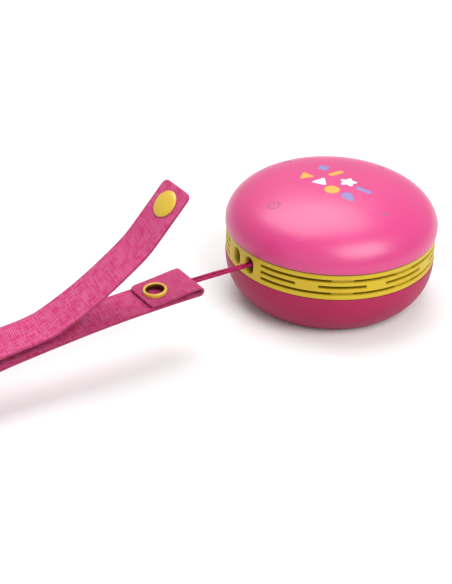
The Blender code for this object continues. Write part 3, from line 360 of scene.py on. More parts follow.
def sharpen(mesh, degrees=35.0):
    """Keeps edges sharper than this as hard edges."""
    shape = bmesh.new()
    shape.from_mesh(mesh)
    limit = math.radians(degrees)
    for edge in shape.edges:
        if len(edge.link_faces) == 2 and edge.calc_face_angle() > limit:
            edge.smooth = False
    shape.to_mesh(mesh)
    shape.free()


def mesh_from(name, points, faces):
    """A mesh with its faces turned outwards."""
    mesh = bpy.data.meshes.new(name)
    mesh.from_pydata([tuple(p) for p in points], [], faces)
    shape = bmesh.new()
    shape.from_mesh(mesh)
    bmesh.ops.recalc_face_normals(shape, faces=shape.faces)
    shape.to_mesh(mesh)
    shape.free()
    mesh.update()
    return mesh


def lofted_mesh(name, rings, joined=False):
    """A skin over rings of equally many points, closed by its two end rings or joined into a loop."""
    count = len(rings[0])
    numbered = [range(i * count, (i + 1) * count) for i in range(len(rings))]
    pairs = list(zip(numbered, numbered[1:]))
    faces = []
    if joined:
        pairs.append((numbered[-1], numbered[0]))
    else:
        faces += [tuple(numbered[0]), tuple(numbered[-1])]
    for near, far in pairs:
        for k in range(count):
            n = (k + 1) % count
            faces.append((near[k], near[n], far[n], far[k]))
    return mesh_from(name, [point for ring in rings for point in ring], faces)


def turned_mesh(name, profile, segments=96):
    """A closed (radius, height) outline turned about Z; points on the axis make one vertex."""
    points, rings = [], []
    for radius, height in profile:
        if radius < TINY:
            rings.append([len(points)] * segments)
            points.append((0, 0, height))
            continue
        rings.append(list(range(len(points), len(points) + segments)))
        for k in range(segments):
            a = 2 * math.pi * k / segments
            points.append((radius * math.cos(a), radius * math.sin(a), height))
    pairs = list(zip(rings, rings[1:]))
    if profile[0][0] > TINY or profile[-1][0] > TINY:
        pairs.append((rings[-1], rings[0]))
    faces = []
    for upper, lower in pairs:
        for k in range(segments):
            n = (k + 1) % segments
            face = list(dict.fromkeys((upper[k], upper[n], lower[n], lower[k])))
            if len(face) > 2:
                faces.append(face)
    return mesh_from(name, points, faces)


def arc(centre, radius, start, end, count):
    """Points of an arc, angles in degrees."""
    angles = np.radians(np.linspace(start, end, count))
    return [(centre[0] + radius * math.cos(a), centre[1] + radius * math.sin(a)) for a in angles]


def smooth_path(points, step):
    """A smooth curve through the points, read off at about this spacing."""
    ends = [points[0], *points, points[-1]]
    path = []
    for before, start, end, after in zip(ends, ends[1:], ends[2:], ends[3:]):
        before, start, end, after = (Vector(p) for p in (before, start, end, after))
        count = max(1, round((end - start).length / step))
        for i in range(count):
            t = i / count
            path.append(
                0.5 * (
                    2 * start
                    + (end - before) * t
                    + (2 * before - 5 * start + 4 * end - after) * t ** 2
                    + (3 * start - before - 3 * end + after) * t ** 3
                )
            )
    path.append(Vector(points[-1]))
    return path


def superellipse(radius, rise, waist, powers, start, end, count):
    """(radius, height) points of a superellipse's side, from one angle above its waist to another."""
    vertical, radial = powers
    return [
        (radius * max(math.cos(a), 0.0) ** radial, waist + rise * max(math.sin(a), 0.0) ** vertical)
        for a in np.linspace(start, end, count)
    ]


def dome_height(radius):
    """Height of the top skin's surface at this distance from the axis."""
    share = (radius / BODY_RADIUS) ** (2 / UPPER_POWERS[1])
    return UPPER_WAIST + UPPER_RISE * (1 - share) ** (UPPER_POWERS[0] / 2)


# ---------------------------------------------------------------- relief on turned walls

def rounded_box_distance(x, y, half_x, half_y, corner):
    """Distance outside (or, negative, inside) a rectangle with rounded corners."""
    qx = np.abs(x) - (half_x - corner)
    qy = np.abs(y) - (half_y - corner)
    outside = np.hypot(np.maximum(qx, 0), np.maximum(qy, 0))
    return outside + np.minimum(np.maximum(qx, qy), 0) - corner


def recess(distance, depth, lip, wall):
    """How deep a recess is at a distance from its outline: a rounded lip, then a steep wall to its floor."""
    round_part = lip - np.sqrt(np.maximum(lip ** 2 - np.clip(lip - distance, 0, lip) ** 2, 0))
    wall_part = (depth - lip) * np.clip(-distance / wall, 0, 1)
    return np.where(distance >= lip, 0.0, np.where(distance > 0, round_part, lip + wall_part))


def graded(low, high, coarse, marks):
    """Positions from low to high: even coarse steps, and finer ones round each (place, reach, step) mark."""
    fine = []
    for place, reach, step in marks:
        count = max(1, round(reach / step))
        fine += [place + k * step for k in range(-count, count + 1)]
    smallest = min(step for _, _, step in marks)
    kept = []
    for p in sorted(p for p in fine if low < p < high):
        if not kept or p - kept[-1] > 0.45 * smallest:
            kept.append(p)
    even = np.linspace(low, high, max(2, round((high - low) / coarse) + 1))
    return np.array(sorted(kept + [p for p in even if all(abs(p - q) > 0.6 * smallest for q in kept)]))


def relief_wall(name, outer, inner, angles, depth_at, through):
    """A turned wall with recesses. outer and inner are matching (radius, height) rows.

    depth_at gives the recess at every point, and where it passes the given depth the wall is open.
    """
    rows, columns = len(outer), len(angles)
    outer, inner = np.array(outer), np.array(inner)
    slope = np.gradient(outer, axis=0)
    normal = np.stack([-slope[:, 1], slope[:, 0]], 1)
    normal /= np.linalg.norm(normal, axis=1)[:, None]
    if normal[0, 0] < 0:
        normal = -normal
    angle, row = np.meshgrid(angles, np.arange(rows))
    wall = np.hypot(*(outer - inner).T)[row]
    depth = np.minimum(depth_at(angle, outer[row, 0], outer[row, 1]), wall * 0.98)
    shown = outer[row] - normal[row] * depth[..., None]
    points = []
    for place in (shown, inner[row]):
        sheet = np.stack([place[..., 0] * np.cos(angle), place[..., 0] * np.sin(angle), place[..., 1]], -1)
        points.append(sheet.reshape(-1, 3))
    points = np.concatenate(points)
    is_open = depth >= np.minimum(through, wall * 0.97)
    following = np.roll(np.arange(columns), -1)
    solid = ~(is_open[:-1] & is_open[1:] & is_open[:-1][:, following] & is_open[1:][:, following])
    faces = wall_faces(solid, rows, columns)
    used = sorted({v for face in faces for v in face})
    renumber = {v: k for k, v in enumerate(used)}
    return mesh_from(name, points[used], [tuple(renumber[v] for v in face) for face in faces])


def wall_faces(solid, rows, columns):
    """Front, back and edge faces of a turned wall, where solid says which of its cells are filled."""
    index = np.arange(rows * columns).reshape(rows, columns)
    count = rows * columns
    faces = []

    def edge(a, b):
        """Joins the front to the back along one side of a cell."""
        faces.append((a, b, count + b, count + a))

    for i, j in zip(*np.nonzero(solid)):
        n = (j + 1) % columns
        corners = (index[i, j], index[i, n], index[i + 1, n], index[i + 1, j])
        faces.append(corners)
        faces.append(tuple(count + v for v in reversed(corners)))
    for i, j in zip(*np.nonzero(~solid)):
        n, p = (j + 1) % columns, (j - 1) % columns
        if solid[i, p]:
            edge(index[i, j], index[i + 1, j])
        if solid[i, n]:
            edge(index[i + 1, n], index[i, n])
        if i and solid[i - 1, j]:
            edge(index[i, n], index[i, j])
        if i < rows - 2 and solid[i + 1, j]:
            edge(index[i + 1, j], index[i + 1, n])
    for j in range(columns):
        n = (j + 1) % columns
        edge(index[0, n], index[0, j])
        edge(index[-1, j], index[-1, n])
    return faces


# ---------------------------------------------------------------- body pieces

def top_skin(surface):
    """The dome, with a rounded lip that turns in over the band."""
    rim, lip = 32.72 * MM, 0.42 * MM
    crown = superellipse(BODY_RADIUS, UPPER_RISE, UPPER_WAIST, UPPER_POWERS, math.pi / 2, 0.16, 54)
    crown = [(r, z) for r, z in crown if z > rim + lip]
    crown[0] = (0.0, crown[0][1])
    edge = crown[-1][0]
    turn = arc((edge - lip, rim + lip), lip, 0, -90, 6)
    inside = [(edge - r * MM, rim + z * MM) for r, z in ((1.3, 0.1), (1.5, 2.0), (3.0, 5.0))]
    inside += [(30 * MM, 46 * MM), (0.0, 49 * MM)]
    obj = new_object("skin", turned_mesh("skin", crown + turn + inside, 144), surface)
    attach(obj, "speaker")
    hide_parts("top_skin")


def slot_spans():
    """(row, start, end, depth) of every slot and groove, in degrees from the lanyard's axis."""
    groove_depth, shorter = 0.9 * MM, 1.3
    centres = [SLOT_CENTRE + SLOT_PITCH * i for i in range(3)]
    middle = [(SLOT_FIRST, SLOT_CENTRE - SLOT_PITCH + SLOT_HALF - shorter)]
    middle += [(c - SLOT_HALF, c + SLOT_HALF) for c in centres]
    starts = [SLOT_FIRST] + [c + BRIDGE_HALF for c in centres]
    ends = [c - BRIDGE_HALF for c in centres] + [180 - BRIDGE_HALF]
    spans = [(1, *span, HOLE_WALL) for span in middle]
    spans += [(row, *span, HOLE_WALL) for row in (0, 2) for span in zip(starts, ends)]
    spans += [(row, 360 - end, 360 - start, depth) for row, start, end, depth in spans]
    spans.append((1, 180 - REAR_HALF, 180 + REAR_HALF, HOLE_WALL))
    spans += [(row, SLOT_FIRST, 360 - SLOT_FIRST, groove_depth) for row in (0, 2)]
    return spans


def grille_band(surface):
    """Band with rounded slots, joined by shallow grooves, and two soft-edged lanyard holes."""
    edge, inner_radius = 0.3 * MM, 42.5 * MM
    low, high = BAND_BASE, BAND_TOP
    sides = (-1, 1)
    slot_edges = [level + side * SLOT_HEIGHT / 2 for level in SLOT_LEVELS for side in sides]
    marks = [(place, 0.24 * MM, 0.08 * MM) for place in slot_edges]
    marks += [(HOLE_LEVEL + side * 2.4 * MM, 1.8 * MM, 0.22 * MM) for side in sides]
    outer = arc((BAND_RADIUS - edge, low + edge), edge, -90, -15, 5)
    outer += [(BAND_RADIUS, z) for z in graded(low + edge, high - edge, 0.6 * MM, marks)]
    outer += arc((BAND_RADIUS - edge, high - edge), edge, 15, 90, 5)
    inner = [(inner_radius, min(max(z, low + 0.01 * MM), high - 0.01 * MM)) for _, z in outer]
    spans = slot_spans()
    step = math.degrees(0.13 * MM / BAND_RADIUS)
    side_marks = [(place, 0.5, step) for _, start, end, _ in spans for place in (start, end)]
    reach = math.degrees(HOLE_SIZE[0] / 2 / BAND_RADIUS) * 0.75
    for hole in HOLE_ANGLES:
        centre = math.degrees(hole - LANYARD_AXIS) % 360
        side_marks += [(centre + side * reach, reach, 2 * step) for side in sides]
    degrees = graded(0.0, 360.0, 2.4, side_marks)
    angles = np.radians(degrees[degrees < 359.9]) + LANYARD_AXIS

    def depth_at(angle, radius, height):
        turn = np.degrees(angle - LANYARD_AXIS)
        depth = np.zeros_like(angle)
        for row, start, end, deep in spans:
            x = np.radians(turn - (start + end) / 2) * BAND_RADIUS
            half_x = math.radians((end - start) / 2) * BAND_RADIUS
            y = height - SLOT_LEVELS[row]
            distance = rounded_box_distance(x, y, half_x, SLOT_HEIGHT / 2, SLOT_HEIGHT * 0.45)
            depth = np.maximum(depth, recess(distance, deep, 0.14 * MM, 0.16 * MM))
        for hole in HOLE_ANGLES:
            x = ((angle - hole + math.pi) % (2 * math.pi) - math.pi) * BAND_RADIUS
            y = height - HOLE_LEVEL
            distance = rounded_box_distance(x, y, HOLE_SIZE[0] / 2, HOLE_SIZE[1] / 2, HOLE_SIZE[0] * 0.49)
            depth = np.maximum(depth, recess(distance, HOLE_WALL, 0.55 * MM, 0.3 * MM))
        return depth

    mesh = relief_wall("band", outer, inner, angles, depth_at, 2.45 * MM)
    sharpen(mesh, 50)
    obj = new_object("band", mesh, surface)
    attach(obj, "speaker")
    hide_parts("grille_band")


def lower_profile(inset, top, count):
    """The lower shell's outline from its top edge down to the flat base, this far inside its outside."""
    bottom = 0.35 * MM + inset
    drop = LOWER_DROP - inset
    first = math.asin(((LOWER_WAIST - top) / drop) ** (1 / LOWER_POWERS[0]))
    last = math.asin(((LOWER_WAIST - bottom) / drop) ** (1 / LOWER_POWERS[0]))
    return superellipse(LOWER_RADIUS - inset, -drop, LOWER_WAIST, LOWER_POWERS, first, last, count)


def across_port(angle, radius):
    """Distance sideways from the port's axis, and a far value on the other side of the shell."""
    x = radius * np.cos(angle - PORT_AXIS)
    y = radius * np.sin(angle - PORT_AXIS)
    return np.where(x > 0, y, 1.0)


def bottom_shell(surface):
    """Bowl with the recess for the port cover, the port's opening and the screw wells."""
    top, edge = 20.7 * MM, 0.3 * MM
    side = lower_profile(0, top - edge, 30)
    rim = arc((side[0][0] - edge, top - edge), edge, 90, 15, 4)
    foot, base_height = side[-1]
    steps = (33.4, 32.6, 31.8, 31, 30.2, 29.4, 28.6, 27.8, 27.4)
    under = [(r * MM, base_height) for r in steps if r * MM < foot]
    outer = rim + side + under
    outer += [(27.3 * MM, 0.8 * MM), (27.2 * MM, 1.2 * MM), (22 * MM, 1.2 * MM)]
    cut_outs = ((COVER_SHIFT, COVER_SIZE), (0.0, PORT_SIZE))
    levels = [PORT_LEVEL + sign * size[1] / 2 for _, size in cut_outs for sign in (-1, 1)]
    outer = with_rows_at(outer, levels)
    inner = [(max(r - 2.2 * MM, 20 * MM), max(z, 2.6 * MM) if z < 3 * MM else z) for r, z in outer]
    step = math.degrees(0.25 * MM / LOWER_RADIUS)
    edges = [shift + sign * size[0] / 2 for shift, size in cut_outs for sign in (-1, 1)]
    columns = [(180 + math.degrees(math.asin(place / PORT_RADIUS)), 1.6, step) for place in edges]
    columns += [(math.degrees(screw - PORT_AXIS + math.pi) % 360, 5.2, 0.5) for screw in SCREW_ANGLES]
    angles = np.radians(graded(0.0, 360.0, 3.0, columns)[:-1]) + PORT_AXIS - math.pi

    def depth_at(angle, radius, height):
        y = across_port(angle, radius)
        z = height - PORT_LEVEL
        cover = rounded_box_distance(y - COVER_SHIFT, z, COVER_SIZE[0] / 2, COVER_SIZE[1] / 2, 1.6 * MM)
        port = rounded_box_distance(y, z, PORT_SIZE[0] / 2, PORT_SIZE[1] / 2, 1.4 * MM)
        depth = recess(cover, 1.3 * MM, 0.25 * MM, 0.25 * MM)
        depth = np.maximum(depth, np.where(port < 0, 2.6 * MM, 0) * np.clip(-port / (0.25 * MM), 0, 1))
        for screw in SCREW_ANGLES:
            x, y = SCREW_CIRCLE * math.cos(screw), SCREW_CIRCLE * math.sin(screw)
            distance = np.hypot(radius * np.cos(angle) - x, radius * np.sin(angle) - y) - 2.5 * MM
            well = np.where(height < 1.0 * MM, recess(distance, 1.9 * MM, 0.2 * MM, 0.3 * MM), 0)
            depth = np.maximum(depth, well)
        return depth

    mesh = relief_wall("lower_shell", outer, inner, angles, depth_at, 2.0 * MM)
    sharpen(mesh, 50)
    obj = new_object("lower_shell", mesh, surface)
    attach(obj, "speaker")
    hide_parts("bottom_shell")


def with_rows_at(outline, levels):
    """Adds rows to an outline near these heights, on its own lines."""
    heights = {round(level + k * 0.2 * MM, 7) for level in levels for k in range(-2, 3)}
    result = []
    for (r1, z1), (r2, z2) in zip(outline, outline[1:]):
        result.append((r1, z1))
        for z in sorted(heights, reverse=True):
            if z1 - 0.05 * MM > z > z2 + 0.05 * MM:
                t = (z1 - z) / (z1 - z2)
                result.append((r1 + (r2 - r1) * t, z))
    return result + [outline[-1]]


# ---------------------------------------------------------------- lanyard cord

def cord_route():
    """The loop's middle line from the toggle to the pin: (distance out from the hole, sideways) in mm."""
    return [(28.7, 0.0), (22.0, 0.0), (15.5, 0.05), (9.0, 0.25), (4.0, 0.45), (1.0, 0.35), (-1.5, 0.0)]


def lanyard_cord(surface):
    """One length of two-ply cord, out to the pin and back."""
    from_exit = PIN - EXIT
    pin = Vector((from_exit.dot(OUTWARDS), from_exit.dot(SIDEWAYS), 0))
    half, wider, clearance = STRAND_SPACING / 2, 0.25 * MM, 0.3 * MM
    turn = PIN_RADIUS + clearance + CORD_RADIUS
    route = [Vector((s * MM, off * MM, 0)) for s, off in cord_route()]
    spread = [half + wider] * 3 + [half] * (len(route) - 4) + [half + 2 * wider]
    left = [p + Vector((0, gap, 0)) for p, gap in zip(route, spread)]
    right = [p - Vector((0, gap, 0)) for p, gap in zip(route, spread)]
    angles = np.radians((80, 110, 145, 180, 215, 250, 280))
    round_pin = [pin + turn * Vector((math.cos(a), math.sin(a), 0)) for a in angles]
    flat = smooth_path(left + round_pin + right[::-1], 0.3 * MM)
    path = [in_strap_plane(p.x, p.y, CORD_LEVEL) for p in flat]
    obj = plied_tube("cord", path, CORD_RADIUS, 3.6 * MM, surface)
    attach(obj, "lanyard")
    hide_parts("lanyard_cord")


def plied_tube(name, path, radius, lay, surface, sides=14):
    """A tube whose section has two lobes that turn once in each lay, as two twisted plies do."""
    rings, uvs = [], []
    travelled = 0.0
    for i, spot in enumerate(path):
        ahead = (path[min(i + 1, len(path) - 1)] - path[max(i - 1, 0)]).normalized()
        side = UP.cross(ahead).normalized()
        above = ahead.cross(side)
        if i:
            travelled += (spot - path[i - 1]).length
        twist = 2 * math.pi * travelled / lay
        ring = []
        for k in range(sides):
            a = 2 * math.pi * k / sides
            lobe = radius * (1.0 + 0.12 * abs(math.cos(a - twist)))
            ring.append(spot + (side * math.cos(a) + above * math.sin(a)) * lobe)
            uvs.append((travelled, k / sides))
        rings.append(ring)
    mesh = lofted_mesh(name, rings)
    add_uv(mesh, "cloth", uvs)
    return new_object(name, mesh, surface)


def add_uv(mesh, name, uvs):
    layer = mesh.uv_layers.new(name=name)
    for loop in mesh.loops:
        layer.data[loop.index].uv = uvs[loop.vertex_index]


# ---------------------------------------------------------------- strap

def strap_points():
    fold = arc(FOLD_CENTRE, FOLD_RADIUS, 90, 270, 7)
    loop = arc(LOOP_CENTRE, LOOP_RADIUS, -121, 65, 9)
    return [*TAB_POINTS, *fold, *LEG_POINTS, *loop, *FLAP_POINTS]


class StrapPath:
    """The strap's centreline, read by length from the tab's end."""

    def __init__(self):
        points = [Vector((s, 0, z)) * MM for s, z in strap_points()]
        path = smooth_path(points, 0.5 * MM)
        steps = [(b - a).length for a, b in zip(path, path[1:])]
        self.lengths = np.concatenate([[0.0], np.cumsum(steps)])
        self.total = float(self.lengths[-1])
        self.s = np.array([p.x for p in path])
        self.z = np.array([p.z for p in path])
        self.fold = int(np.argmin(self.s[: len(self.s) // 2]))
        self.loop = int(np.argmax(self.s))

    def at(self, length):
        return Vector((np.interp(length, self.lengths, self.s), 0, np.interp(length, self.lengths, self.z)))

    def heading(self, length):
        reach = 0.8 * MM
        return (self.at(min(length + reach, self.total)) - self.at(max(length - reach, 0))).normalized()

    def outwards(self, length):
        """Length along the cloth, counted so that it grows away from the body on every layer."""
        fold, loop = float(self.lengths[self.fold]), float(self.lengths[self.loop])
        return abs(length - fold) if length < loop else 2 * loop - length - fold

    def on_flap(self, distance):
        """Length at which the upper leg passes this distance out from the hole."""
        return float(np.interp(-distance, -self.s[self.loop:], self.lengths[self.loop:]))

    def on_tab(self, distance):
        return float(np.interp(-distance, -self.s[:self.fold], self.lengths[:self.fold]))


def ribbon_width(path, length):
    """Half the strap's width, drawn in where its free ends are rounded."""
    half = STRAP_WIDTH / 2
    from_end = min(length, path.total - length)
    if from_end >= STRAP_CORNER:
        return half
    return half - STRAP_CORNER + math.sqrt(max(STRAP_CORNER ** 2 - (STRAP_CORNER - from_end) ** 2, 0.0))


def ribbon_section(half_width, half_thickness):
    """(sideways, thickness) points round the strap's section, with rolled edges."""
    roll = min(half_thickness * 0.85, 0.4 * MM)
    right = arc((half_width - roll, half_thickness - roll), roll, 0, 90, 4)
    shares = (0.72, 0.44, 0.15, -0.15, -0.44, -0.72)
    face = [((half_width - roll) * share, half_thickness) for share in shares]
    upper = right + face + [(-x, z) for x, z in reversed(right)]
    return upper + [(-x, -z) for x, z in upper]


def strap_piece(name, path, start, end, surface):
    """The strap between two lengths, as a closed body with a map that follows its cloth."""
    spacing = 0.9 * MM
    stations = list(np.linspace(start, end, max(3, round((end - start) / spacing) + 1)))
    fine = [STRAP_CORNER * share for share in (0.0, 0.015, 0.05, 0.11, 0.2, 0.32, 0.5, 0.72, 1.0)]
    if start < TINY:
        stations = fine + [v for v in stations if v > 1.1 * STRAP_CORNER]
    if end > path.total - TINY:
        stations = [v for v in stations if v < end - 1.1 * STRAP_CORNER] + [end - v for v in reversed(fine)]
    rings, uvs = [], []
    for station in stations:
        spot, ahead = path.at(station), path.heading(station)
        normal = Vector((-ahead.z, 0, ahead.x))
        from_end = min(station, path.total - station)
        thinned = min(1.0, 0.62 + from_end / (0.5 * MM))
        ring = []
        for off, rise in ribbon_section(ribbon_width(path, station), STRAP_THICKNESS / 2 * thinned):
            place = spot + normal * -rise
            ring.append(in_strap_plane(place.x, off, place.z))
            uvs.append((path.outwards(station), off))
        rings.append(ring)
    mesh = lofted_mesh(name, rings)
    add_uv(mesh, "cloth", uvs)
    sharpen(mesh, 55)
    obj = new_object(name, mesh, surface)
    return obj


def strap(flap_surface, leg_surface):
    """The strap in lengths, one round each hinge; they meet where the strap stays stiff."""
    path = StrapPath()
    hinges = []
    for joint in ["strap_close"] + [f"strap_curl_{i}" for i in range(2, 6)]:
        place = Vector(JOINTS[joint]["pos_m"])
        hinges.append(path.on_flap((place - EXIT).dot(OUTWARDS)))
    lead_in, reach = 12 * MM, 8.5 * MM
    cuts = [hinges[0] - lead_in] + [(a + b) / 2 for a, b in zip(hinges, hinges[1:])] + [path.total]
    main = strap_piece("strap_lower_leg", path, 0.0, cuts[0], leg_surface)
    punch_tab(main, path)
    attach(main, "strap")
    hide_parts("strap_main")
    for i, hinge in enumerate(hinges):
        piece = strap_piece(f"strap_bend_{i + 1}", path, cuts[i], cuts[i + 1], flap_surface)
        start, end = path.at(hinge - reach), path.at(hinge + reach)
        start, end = in_strap_plane(start.x, 0, start.z), in_strap_plane(end.x, 0, end.z)
        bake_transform(piece)
        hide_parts(f"strap_flap_{i + 1}")
    return path


def punch_tab(tab, path):
    """The socket's hole through the tab; the leg under it shows at the bottom."""
    spot, up = socket_place(path)
    top, bottom, radius = 0.5 * MM, -STRAP_THICKNESS - 0.3 * MM, SOCKET_BORE + 0.2 * MM
    outline = [(0.0, top), (radius, top), (radius, bottom), (0.0, bottom)]
    tool = on_strap("punch", outline, 48, None, spot, up)
    cut = tab.modifiers.new("punch", "BOOLEAN")
    cut.operation = "DIFFERENCE"
    cut.solver = "EXACT"
    cut.object = tool
    punched = bpy.data.meshes.new_from_object(tab.evaluated_get(bpy.context.evaluated_depsgraph_get()))
    tab.modifiers.clear()
    tab.data = punched
    bpy.data.objects.remove(tool)


# ---------------------------------------------------------------- snap fastener

def socket_place(path):
    """Middle of the socket on the tab's upper face, and the way it faces."""
    s, z = SOCKET_AT
    ahead = path.heading(path.on_tab(s * MM))
    return in_strap_plane(s * MM, 0, z * MM), OUTWARDS * ahead.z - UP * ahead.x


def on_strap(name, outline, segments, surface, spot, up):
    """A piece turned from its (radius, height) outline, standing on the strap with its axis along up."""
    mesh = turned_mesh(name, outline, segments)
    turn = Matrix((SIDEWAYS, up.cross(SIDEWAYS).normalized(), up)).transposed().to_4x4()
    mesh.transform(Matrix.Translation(spot) @ turn)
    return new_object(name, mesh, surface)


def snap_socket(path, yellow, steel, barrel_shade):
    """Open ring on the tab, its barrel dark with painted shade, and the rivet's head on the tab's other side."""
    spot, up = socket_place(path)
    radius, height, roll, foot = 5.0 * MM, 1.3 * MM, 0.45 * MM, -0.15 * MM
    small = roll * 0.6
    ring = [(radius, foot)]
    ring += arc((radius - roll, height - roll), roll, 0, 90, 6)
    ring += arc((SOCKET_BORE + small, height - small), small, 90, 180, 5)
    ring += [(SOCKET_BORE, foot)]
    socket = on_strap("socket_ring", ring, 72, yellow, spot, up)
    sharpen(socket.data, 60)
    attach(socket, "strap")
    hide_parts("snap_socket", "snap_rivet")
    low, high, inside = -STRAP_THICKNESS - 0.1 * MM, height - 0.35 * MM, SOCKET_BORE - 0.12 * MM
    wall = [(SOCKET_BORE, low), (SOCKET_BORE - 0.01 * MM, high), (inside, high - 0.1 * MM), (inside, low)]
    # The barrel's dark metal is painted shade for the inside of the socket.
    barrel = on_strap("socket_barrel", wall, 72, barrel_shade, spot, up)
    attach(barrel, "strap")
    head = ((0, -4.15), (2.2, -4.05), (4.2, -3.6), (4.6, -2.9), (4.2, -2.6), (0, -2.55))
    rivet = on_strap("socket_back", [(r * MM, z * MM) for r, z in head], 48, steel, spot, up)
    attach(rivet, "strap")


def snap_cap(path, yellow, steel):
    """Domed cap on the flap's end, and the post under it that enters the socket."""
    length = path.on_flap(SNAP_ON_FLAP)
    ahead, centre = path.heading(length), path.at(length)
    up = OUTWARDS * ahead.z - UP * ahead.x
    spot = in_strap_plane(centre.x, 0, centre.z)
    face, radius, rise = STRAP_THICKNESS / 2, 5.75 * MM, 1.15 * MM
    angles = np.radians(np.linspace(0, 82, 14))
    dome = [(radius * math.sin(a), face + 0.35 * MM + rise * math.cos(a)) for a in angles]
    rim = [(radius - inset * MM, face + z * MM) for inset, z in ((0, 0.32), (0.12, 0.02), (0.7, -0.1))]
    outline = dome + rim + [(0.0, face - 0.1 * MM)]
    cap = on_strap("snap_button", outline, 96, yellow, spot, up)
    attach(cap, "flap_5")
    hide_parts("snap_cap")
    flange = ((0.0, -0.05), (4.4, -0.05), (4.6, 0.3), (4.45, 0.8))
    stem = ((3.3, 0.9), (2.75, 1.05), (2.9, 1.5), (2.6, 1.8), (1.2, 1.75), (0.0, 1.4))
    outline = [(r * MM, -face - depth * MM) for r, depth in flange + stem]
    post = on_strap("snap_post", outline, 64, steel, spot, up)
    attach(post, "flap_5")
    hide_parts("snap_stud")


# ---------------------------------------------------------------- print and marks on the dome

def printed(name, rings, surface):
    """A thin print on the dome, from rings of (x, y, height over the dome)."""
    places = [[(x, y, dome_height(math.hypot(x, y)) + lift) for x, y, lift in ring] for ring in rings]
    obj = new_object(name, lofted_mesh(name, places), surface)
    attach(obj, "speaker")


def dome_patch(name, outline, surface, thickness, rings=6):
    """A printed shape on the dome. outline is a list of (x, y) that its own centre sees all of."""
    cx = sum(p[0] for p in outline) / len(outline)
    cy = sum(p[1] for p in outline) / len(outline)
    shares = [k / rings for k in range(1, rings + 1)]
    levels = [(share, thickness) for share in shares[:-1]]
    levels += [(1.0, thickness * 0.3)]
    levels += [(share, PRINT_FOOT) for share in reversed(shares)]
    lofts = []
    for share, lift in levels:
        lofts.append([(cx + (x - cx) * share, cy + (y - cy) * share, lift) for x, y in outline])
    printed(name, lofts, surface)


def placed(shape, centre, turn, size):
    """A shape of about unit size, turned, scaled and moved; centre and size are in millimetres."""
    turned = Matrix.Rotation(math.radians(turn), 2) * size * MM
    return [tuple(Vector(centre) * MM + turned @ Vector(point)) for point in shape]


def rounded_polygon(corners, radius, steps=5):
    """Points of a polygon with its corners rounded off."""
    result = []
    count = len(corners)
    for i in range(count):
        before, here, after = (Vector(corners[(i + k) % count]) for k in (-1, 0, 1))
        back, ahead = (before - here).normalized(), (after - here).normalized()
        half_angle = back.angle(ahead) / 2
        reach = radius / math.tan(half_angle)
        centre = here + (back + ahead).normalized() * (radius / math.sin(half_angle))
        start, end = here + back * reach, here + ahead * reach
        for t in np.linspace(0, 1, steps + 1):
            direction = (start - centre).lerp(end - centre, t).normalized()
            result.append(tuple(centre + direction * radius))
    return result


def rounded_rectangle(half_x, half_y, radius, steps=5):
    corners = [(-half_x, -half_y), (half_x, -half_y), (half_x, half_y), (-half_x, half_y)]
    return rounded_polygon(corners, radius, steps)


def disc_shape():
    return [(0.5 * math.cos(a), 0.5 * math.sin(a)) for a in np.linspace(0, 2 * math.pi, 32, endpoint=False)]


def triangle_shape():
    return rounded_polygon([(-0.5, -0.42), (0.5, -0.42), (0.0, 0.5)], 0.1)


def bar_shape(width):
    return rounded_rectangle(0.5, width / 2, width * 0.45)


def flower_shape():
    angles = np.linspace(0, 2 * math.pi, 60, endpoint=False)
    reaches = 0.4 + 0.1 * np.cos(5 * angles)
    return list(zip(reaches * np.cos(angles), reaches * np.sin(angles)))


def drop_shape():
    angles = np.linspace(0, 2 * math.pi, 40, endpoint=False)
    return [(0.34 * math.sin(a) * math.sin(a / 2) ** 1.2 * 1.25, -0.5 * math.cos(a)) for a in angles]


def diamond_shape():
    return rounded_polygon([(0.0, -0.5), (0.42, 0.0), (0.0, 0.5), (-0.42, 0.0)], 0.08)


def confetti(orange, white, lilac):
    """Small party shapes scattered over the crown."""
    shapes = [
        (lilac, diamond_shape(), (-3.9, 12.6), 20, 7.2), (orange, triangle_shape(), (-11.9, 5.2), 15, 7.0),
        (orange, bar_shape(0.36), (1.2, 7.0), 35, 7.6), (white, triangle_shape(), (-5.4, -0.6), -25, 7.4),
        (white, flower_shape(), (6.0, -1.2), 0, 7.8), (orange, disc_shape(), (-1.2, -8.4), 0, 6.6),
        (lilac, bar_shape(0.36), (12.3, -7.6), -30, 7.4), (lilac, drop_shape(), (5.6, -14.2), 30, 8.0),
    ]
    for i, (surface, shape, centre, turn, size) in enumerate(shapes):
        dome_patch(f"confetti_{i + 1}", placed(shape, centre, turn, size), surface, 0.03 * MM)


def swept_patch(name, centre_line, half_width, surface, thickness):
    """A printed line along points on the dome."""
    section = [(1, PRINT_FOOT), (1, thickness * 0.3), (0.6, thickness)]
    section += [(-off, lift) for off, lift in reversed(section)]
    rings = []
    for i, spot in enumerate(centre_line):
        ahead = Vector(centre_line[min(i + 1, len(centre_line) - 1)]) - Vector(centre_line[max(i - 1, 0)])
        side = Vector((-ahead.y, ahead.x)).normalized() * half_width
        rings.append([(spot[0] + side.x * off, spot[1] + side.y * off, lift) for off, lift in section])
    printed(name, rings, surface)


